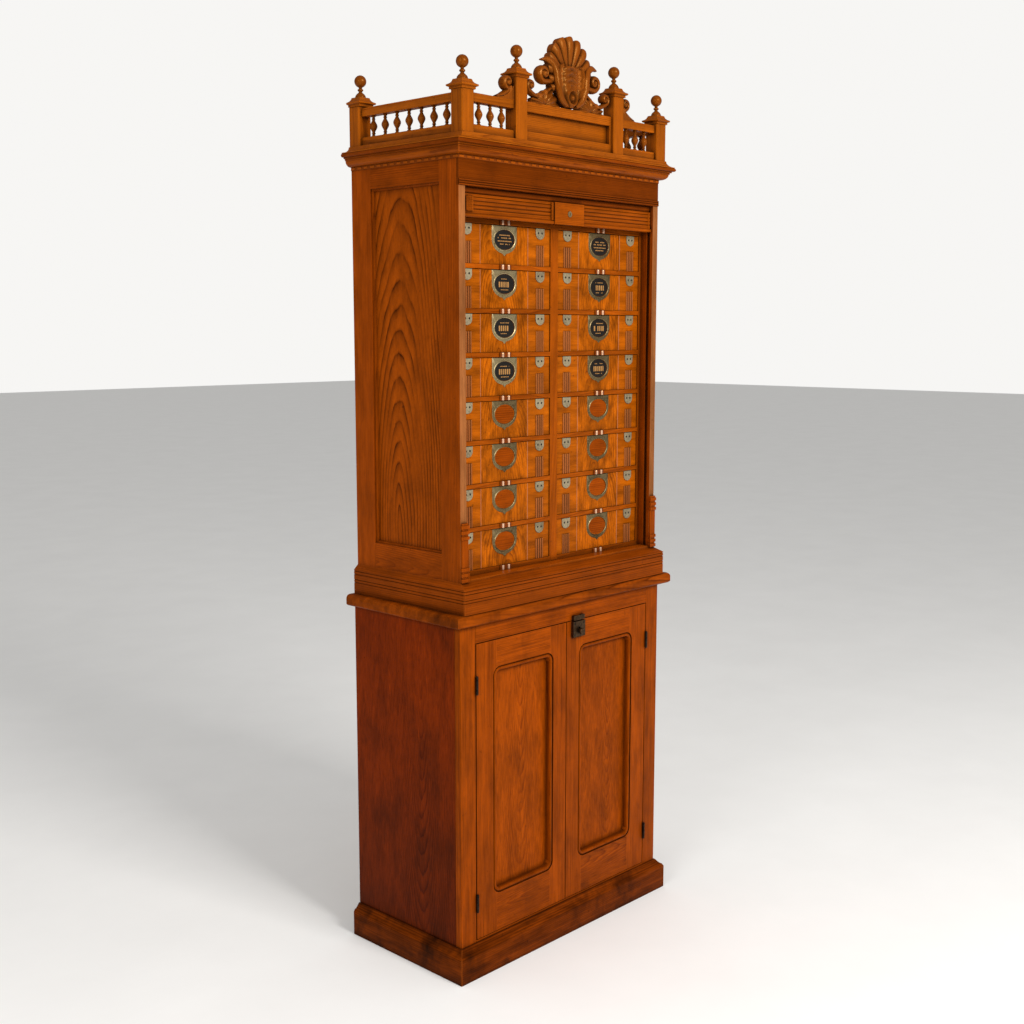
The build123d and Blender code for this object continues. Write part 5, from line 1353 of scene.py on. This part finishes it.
# ------------------------------------------------------------------ crest
@dataclass
class Crest:
    """Carved crest: fluted shell, leaf edges, cartouche, scrolls, arms, leaves and volutes.

    Heights are measured from the top of the crest panel, depths from the cabinet's back.
    """

    lobes: int = 13
    spread: float = 236.0
    hinge: float = 64.0
    back: float = 366.0
    coil: float = 1.35

    def __post_init__(self) -> None:
        """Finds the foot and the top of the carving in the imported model."""
        self.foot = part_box("crest_panel")[1][2] / MM
        self.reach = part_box("crest_shell")[1][2] / MM - self.foot - self.hinge - 0.3

    def shell(self) -> Part:
        """Fan of rounded flutes that spread from a hinge and roll over at the rim.

        Along a flute the front rises from the hinge and falls at the rim; across a flute it is
        round. The rim swells out at the middle of each flute.
        """
        steps = 12
        share = np.linspace(0, 1, self.lobes * steps + 1)
        angle = np.radians(self.spread) * (share - 0.5)
        phase = 2 * ((share * self.lobes) % 1.0) - 1
        round_over = np.sqrt(np.clip(1 - phase ** 2, 0, 1))
        narrow = 0.60 + 0.40 * np.cos(angle / 2) ** 4
        rim = self.reach * narrow * (0.91 + 0.09 * round_over)
        v = np.array([0.05, 0.2, 0.36, 0.52, 0.68, 0.8, 0.89, 0.95, 0.99, 1.0])[:, None]
        swell = 9.0 * np.sin(math.pi * np.clip(v * 0.62, 0, 1))
        dish = 379.0 + swell - 5.0 * np.clip((v - 0.8) / 0.2, 0, 1) ** 2
        front = dish + (2.0 + 8.0 * v) * (round_over[None] - 0.55)
        radius = v * rim[None]
        tail = np.array([0.99, 0.5, 0.05])[:, None] * rim[None]
        radius = np.vstack([radius, tail])
        depth = np.vstack([front, np.full((3, len(share)), self.back)])
        x = radius * np.sin(angle)[None]
        z = self.foot + self.hinge + radius * np.cos(angle)[None]
        return grid(placed(x, depth, z), wrap_rows=True, cap_cols=True, tone=0.55)

    def cartouche(self) -> Part:
        """Scrolled shield below the shell: rolled edges, folds across its head and a rosette at its foot."""
        v = np.linspace(0, 1, 40)[:, None]
        u = np.linspace(-1, 1, 41)[None]
        half = np.interp(v[:, 0], [0, 0.06, 0.2, 0.4, 0.6, 0.8, 0.95, 1.0],
                         [14, 29, 40, 47, 52, 54, 49, 39])[:, None]
        x = half * u
        z = self.foot + 2.0 + 96.0 * v
        z = z + (u ** 2) * 7.0 * np.clip(v - 0.5, 0, 1)
        edge = np.exp(-((abs(u) - 0.84) / 0.13) ** 2)
        gutter = np.exp(-((abs(u) - 0.6) / 0.12) ** 2)
        body = 384.0 + 9.0 * np.sqrt(np.clip(1 - u ** 2, 0, 1)) + 0 * v
        ring = np.hypot(x, (v - 0.24) * 96.0)
        rosette = 6.5 * np.exp(-((ring - 17.0) / 3.6) ** 2) + 8.0 * np.exp(-(ring / 6.5) ** 2)
        rosette = rosette - 4.0 * np.exp(-((ring - 11.0) / 2.8) ** 2)
        above = np.clip((v - 0.5) / 0.08, 0, 1)
        folds = 2.4 * np.cos(v * 44.0 + abs(u) * 7.0) * np.exp(-(u / 0.42) ** 2) * above
        depth = body + 7.0 * edge - 5.0 * gutter + rosette + folds
        depth = depth - 6.0 * (abs(u) > 0.985)
        front = placed(x, depth, z)
        rear = placed(x, self.back + 6.0 + 0 * depth, z)
        loop = np.concatenate([front, rear[:, ::-1]], 1)
        return loft(loop, 0.5)

    def spiral(self, x: float, z: float, outer: float, start: float, hand: float) -> np.ndarray:
        """Points of a spiral that closes in on (x, z): radius falls evenly with the angle."""
        t = np.linspace(0, 1, 46)
        radius = outer * (1 - 0.86 * t)
        angle = start + hand * 2 * math.pi * self.coil * t
        return np.stack([x + radius * np.cos(angle), z + radius * np.sin(angle)], -1)

    def scroll(self, lead: list[tuple[float, float]], x: float, z: float, outer: float, start: float,
               hand: float, wide: float, depth: float, reach: float) -> list[Part]:
        """An arm that ends in a spiral, with an eye at its middle.

        Args:
            lead: points of the arm before the spiral, as x and height above the panel.
            x: middle of the spiral.
            z: height of its middle above the panel.
            outer: radius of the spiral's first turn.
            start: angle where the spiral starts.
            hand: 1 or -1, the way it turns.
            wide: half-width of the arm.
            depth: depth of its middle.
            reach: half its thickness.

        Returns:
            The arm and the eye.
        """
        turn = self.spiral(x, z, outer, start, hand)
        path = turn
        if lead:
            path = np.vstack([curve(lead + [tuple(turn[0])], 22)[:-1], turn])
        path = path + np.array([0.0, self.foot])
        share = np.linspace(0, 1, len(path))
        width = wide * np.interp(share, [0, 0.12, 0.5, 1], [0.45, 0.95, 1.0, 0.6])
        thick = reach * np.interp(share, [0, 0.4, 1], [0.75, 1.0, 1.12])
        arm = roll_along(path, width, np.full(len(path), depth), thick)
        bowl = np.array([(0.62, -0.9), (0.62, 0.35), (0.42, 0.55), (0.2, 1.1), (0.08, 1.2)]) * (outer, reach)
        eye = boss(bowl, x, depth, self.foot + z, 18)
        return [arm, eye]

    def leaf(self) -> Part:
        """Low acanthus leaf that lies on the panel's top edge: a half fan of ribs."""
        v = np.linspace(0.04, 1, 12)[:, None]
        share = np.linspace(0, 1, 61)[None]
        angle = math.pi * share
        ribs = 0.5 + 0.5 * np.cos(2 * math.pi * 6 * share)
        rim = 1 - 0.09 * (1 - ribs)
        x = 84.0 + 54.0 * v * rim * np.cos(angle)
        z = self.foot + 36.0 * v * rim * np.sin(angle) * (1 - 0.42 * np.cos(angle)) - 0.4
        depth = 378.0 + 9.0 * np.sin(math.pi * np.clip(0.15 + 0.8 * v, 0, 1)) + 2.4 * (ribs - 0.5) * v * 2
        rear = placed(x, self.back + 2.0 + 0 * depth, z)
        return grid(np.concatenate([placed(x, depth, z), rear[::-1]]), wrap_rows=True, cap_cols=True)

    def leaf_edge(self) -> Part:
        """Broad leaf edge that rises beside the cartouche and turns out to a tip."""
        path = curve([(16.0, 5.0), (38.0, 22.0), (50.0, 50.0), (55.0, 78.0), (65.0, 97.0), (82.0, 105.0),
                      (101.0, 103.0)], 44)
        share = np.linspace(0, 1, len(path))
        width = np.interp(share, [0, 0.1, 0.45, 0.8, 1], [5.0, 9.0, 10.5, 8.5, 2.0])
        depth = np.interp(share, [0, 0.3, 0.7, 1], [389.0, 393.0, 388.0, 381.0])
        return roll_along(path + np.array([0.0, self.foot]), width, depth,
                          np.interp(share, [0, 0.5, 1], [7.0, 9.0, 5.0]), 14)

    def volute(self) -> list[Part]:
        """Bracket outside the inner post: a swept foot on the rail that ends in a roll."""
        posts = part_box("crest_scrolls")[1][0] / MM
        outer = posts - 56.0
        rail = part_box("gallery_rails")[1][2] / MM - self.foot
        lead = [(posts - 3.0, rail + 2.0), (outer + 34.0, rail + 8.0), (outer + 14.0, rail + 20.0)]
        roll = self.scroll(lead, outer + 17.5, rail + 38.5, outer=15.0, start=-math.pi * 0.75, hand=1.0,
                           wide=6.5, depth=377.5, reach=12.0)
        t = np.linspace(0, 1, 14)
        top = rail + 30.0 * (1 - t) ** 2.2 + 1.0
        x = outer + 54.0 * t
        ring_x = np.concatenate([x, x[::-1]])
        ring_z = self.foot + np.concatenate([top, np.full(len(t), rail)])
        depths = np.array([366.0, 368.0, 385.0, 387.0])[:, None]
        web = loft(placed(ring_x[None], depths, ring_z[None]))
        return roll + [web]

    def build(self) -> None:
        """Makes the carving."""
        upper = [(40.0, 66.0), (58.0, 60.0), (74.0, 56.0)]
        lower = [(36.0, 40.0), (62.0, 42.0), (88.0, 26.0), (112.0, 17.0), (128.0, 21.0)]
        half = [self.leaf_edge(), self.leaf()]
        half += self.scroll(upper, 92.0, 72.0, outer=18.5, start=-math.pi * 0.62, hand=1.0,
                            wide=7.5, depth=378.0, reach=13.0)
        half += self.scroll(lower, 137.0, 39.0, outer=12.5, start=-math.pi * 0.45, hand=1.0,
                            wide=6.0, depth=377.0, reach=11.0)
        half += self.volute()
        piece("carved_scrolls", half + [part.mirrored() for part in half], Wood.CARVED, "cabinet",
              SLOTS["crest_scrolls"], stands_for=["crest_scrolls"], axis=Axis.Z)
        piece("carved_shell", [self.shell(), self.cartouche()], Wood.CARVED, "cabinet", SLOTS["crest_shell"],
              stands_for=["crest_shell"], axis=Axis.Z)


# ------------------------------------------------------------------ studio
@dataclass
class Studio:
    """Plain pale floor, soft lights and the camera."""

    eye: Colour = (-2.468, -2.3425, 1.575)
    yaw: float = -46.33
    pitch: float = 7.92
    lens: float = 45.9
    ambient: float = 0.55
    backdrop: float = 0.93
    mirrored: float = 0.1

    def light(self, name: str, place: Colour, target: Colour, size: float, power: float,
              tint: Colour) -> None:
        """One soft area light, turned towards its target.

        Args:
            name: the light's name.
            place: where it stands, in metres.
            target: the point it faces.
            size: side of its square.
            power: its power in watts.
            tint: its colour.
        """
        lamp = bpy.data.lights.new(name, "AREA")
        lamp.energy = power
        lamp.size = size
        lamp.color = tint
        item = bpy.data.objects.new(name, lamp)
        x, y, z = (b - a for a, b in zip(place, target))
        item.location = place
        item.rotation_euler = (math.atan2(math.hypot(x, y), -z), 0.0, math.atan2(y, x) - math.pi / 2)
        bpy.context.scene.collection.objects.link(item)

    def floor(self) -> None:
        """Wide pale floor with a faint mottle."""
        mesh = bpy.data.meshes.new("studio_floor")
        reach = 30.0
        mesh.from_pydata([(-reach, -reach, 0), (reach, -reach, 0), (reach, reach, 0), (-reach, reach, 0)], [],
                         [(0, 1, 2, 3)])
        graph = Graph("pale_floor")
        place = graph.add("TexCoord").outputs["Object"]
        mottle = graph.noise(place, (3.0, 3.0, 3.0), 4.0).outputs["Fac"]
        share = graph.remap(mottle, (0.3, 0.7), (0.0, 1.0))
        colour = graph.mix(share, (0.93, 0.93, 0.925), (0.90, 0.90, 0.895))
        mesh.materials.append(graph.shade(colour, 0.8, mottle, (0.02, 0.001), Specular_IOR_Level=0.2))
        item = bpy.data.objects.new("studio_floor", mesh)
        bpy.context.scene.collection.objects.link(item)
        item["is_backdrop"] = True

    def sky(self) -> bpy.types.World:
        """Pale world: bright to the camera, softer as light, and dim in reflections."""
        world = bpy.data.worlds.new("studio")
        world.use_nodes = True
        tree = world.node_tree
        rays = tree.nodes.new("ShaderNodeLightPath")
        steps = []
        for ray, strength in (("Is Glossy Ray", self.mirrored), ("Is Camera Ray", self.backdrop)):
            step = tree.nodes.new("ShaderNodeMix")
            step.inputs["B"].default_value = strength
            tree.links.new(rays.outputs[ray], step.inputs["Factor"])
            steps.append(step)
        steps[0].inputs["A"].default_value = self.ambient
        tree.links.new(steps[0].outputs["Result"], steps[1].inputs["A"])
        background = tree.nodes["Background"]
        background.inputs["Color"].default_value = (1.0, 0.99, 0.97, 1.0)
        tree.links.new(steps[1].outputs["Result"], background.inputs["Strength"])
        return world

    def build(self) -> None:
        """Sets up the floor, the light and the camera."""
        self.floor()
        world = self.sky()
        scene = bpy.context.scene
        scene.world = world
        scene.view_settings.view_transform = "Standard"
        self.light("key", place=(-0.3, -4.3, 3.4), target=(0.0, 0.0, 1.2), size=1.7, power=210.0,
                   tint=(1.0, 0.97, 0.93))
        self.light("fill", place=(-4.4, -1.2, 2.8), target=(0.0, 0.0, 1.3), size=2.0, power=60.0,
                   tint=(1.0, 0.98, 0.96))
        lens = bpy.data.cameras.new("camera")
        lens.lens = self.lens
        lens.sensor_width = 36.0
        camera = bpy.data.objects.new("camera", lens)
        camera.location = self.eye
        camera.rotation_euler = (math.radians(90.0 - self.pitch), 0.0, math.radians(self.yaw))
        scene.collection.objects.link(camera)
        scene.camera = camera


def main() -> None:
    """Builds every sub-assembly in order and measures the two boxes."""
    logging.basicConfig(level=logging.INFO, format="%(name)s %(message)s")
    Joinery().build()
    SideBeads().build()
    DoorMoulding().build()
    Hardware().build()
    for side in Side:
        for row in range(1, 9):
            FileDrawer(side, row).build()
    RollShutter().build()
    Gallery().build()
    Crest().build()
    Studio().build()
    bpy.context.view_layer.update()
    boxes = {"cad": CAD_BOX, "visual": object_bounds()}
    {key: [[float(v) for v in corner] for corner in box] for key, box in boxes.items()}


if __name__ == "__main__":
    main()
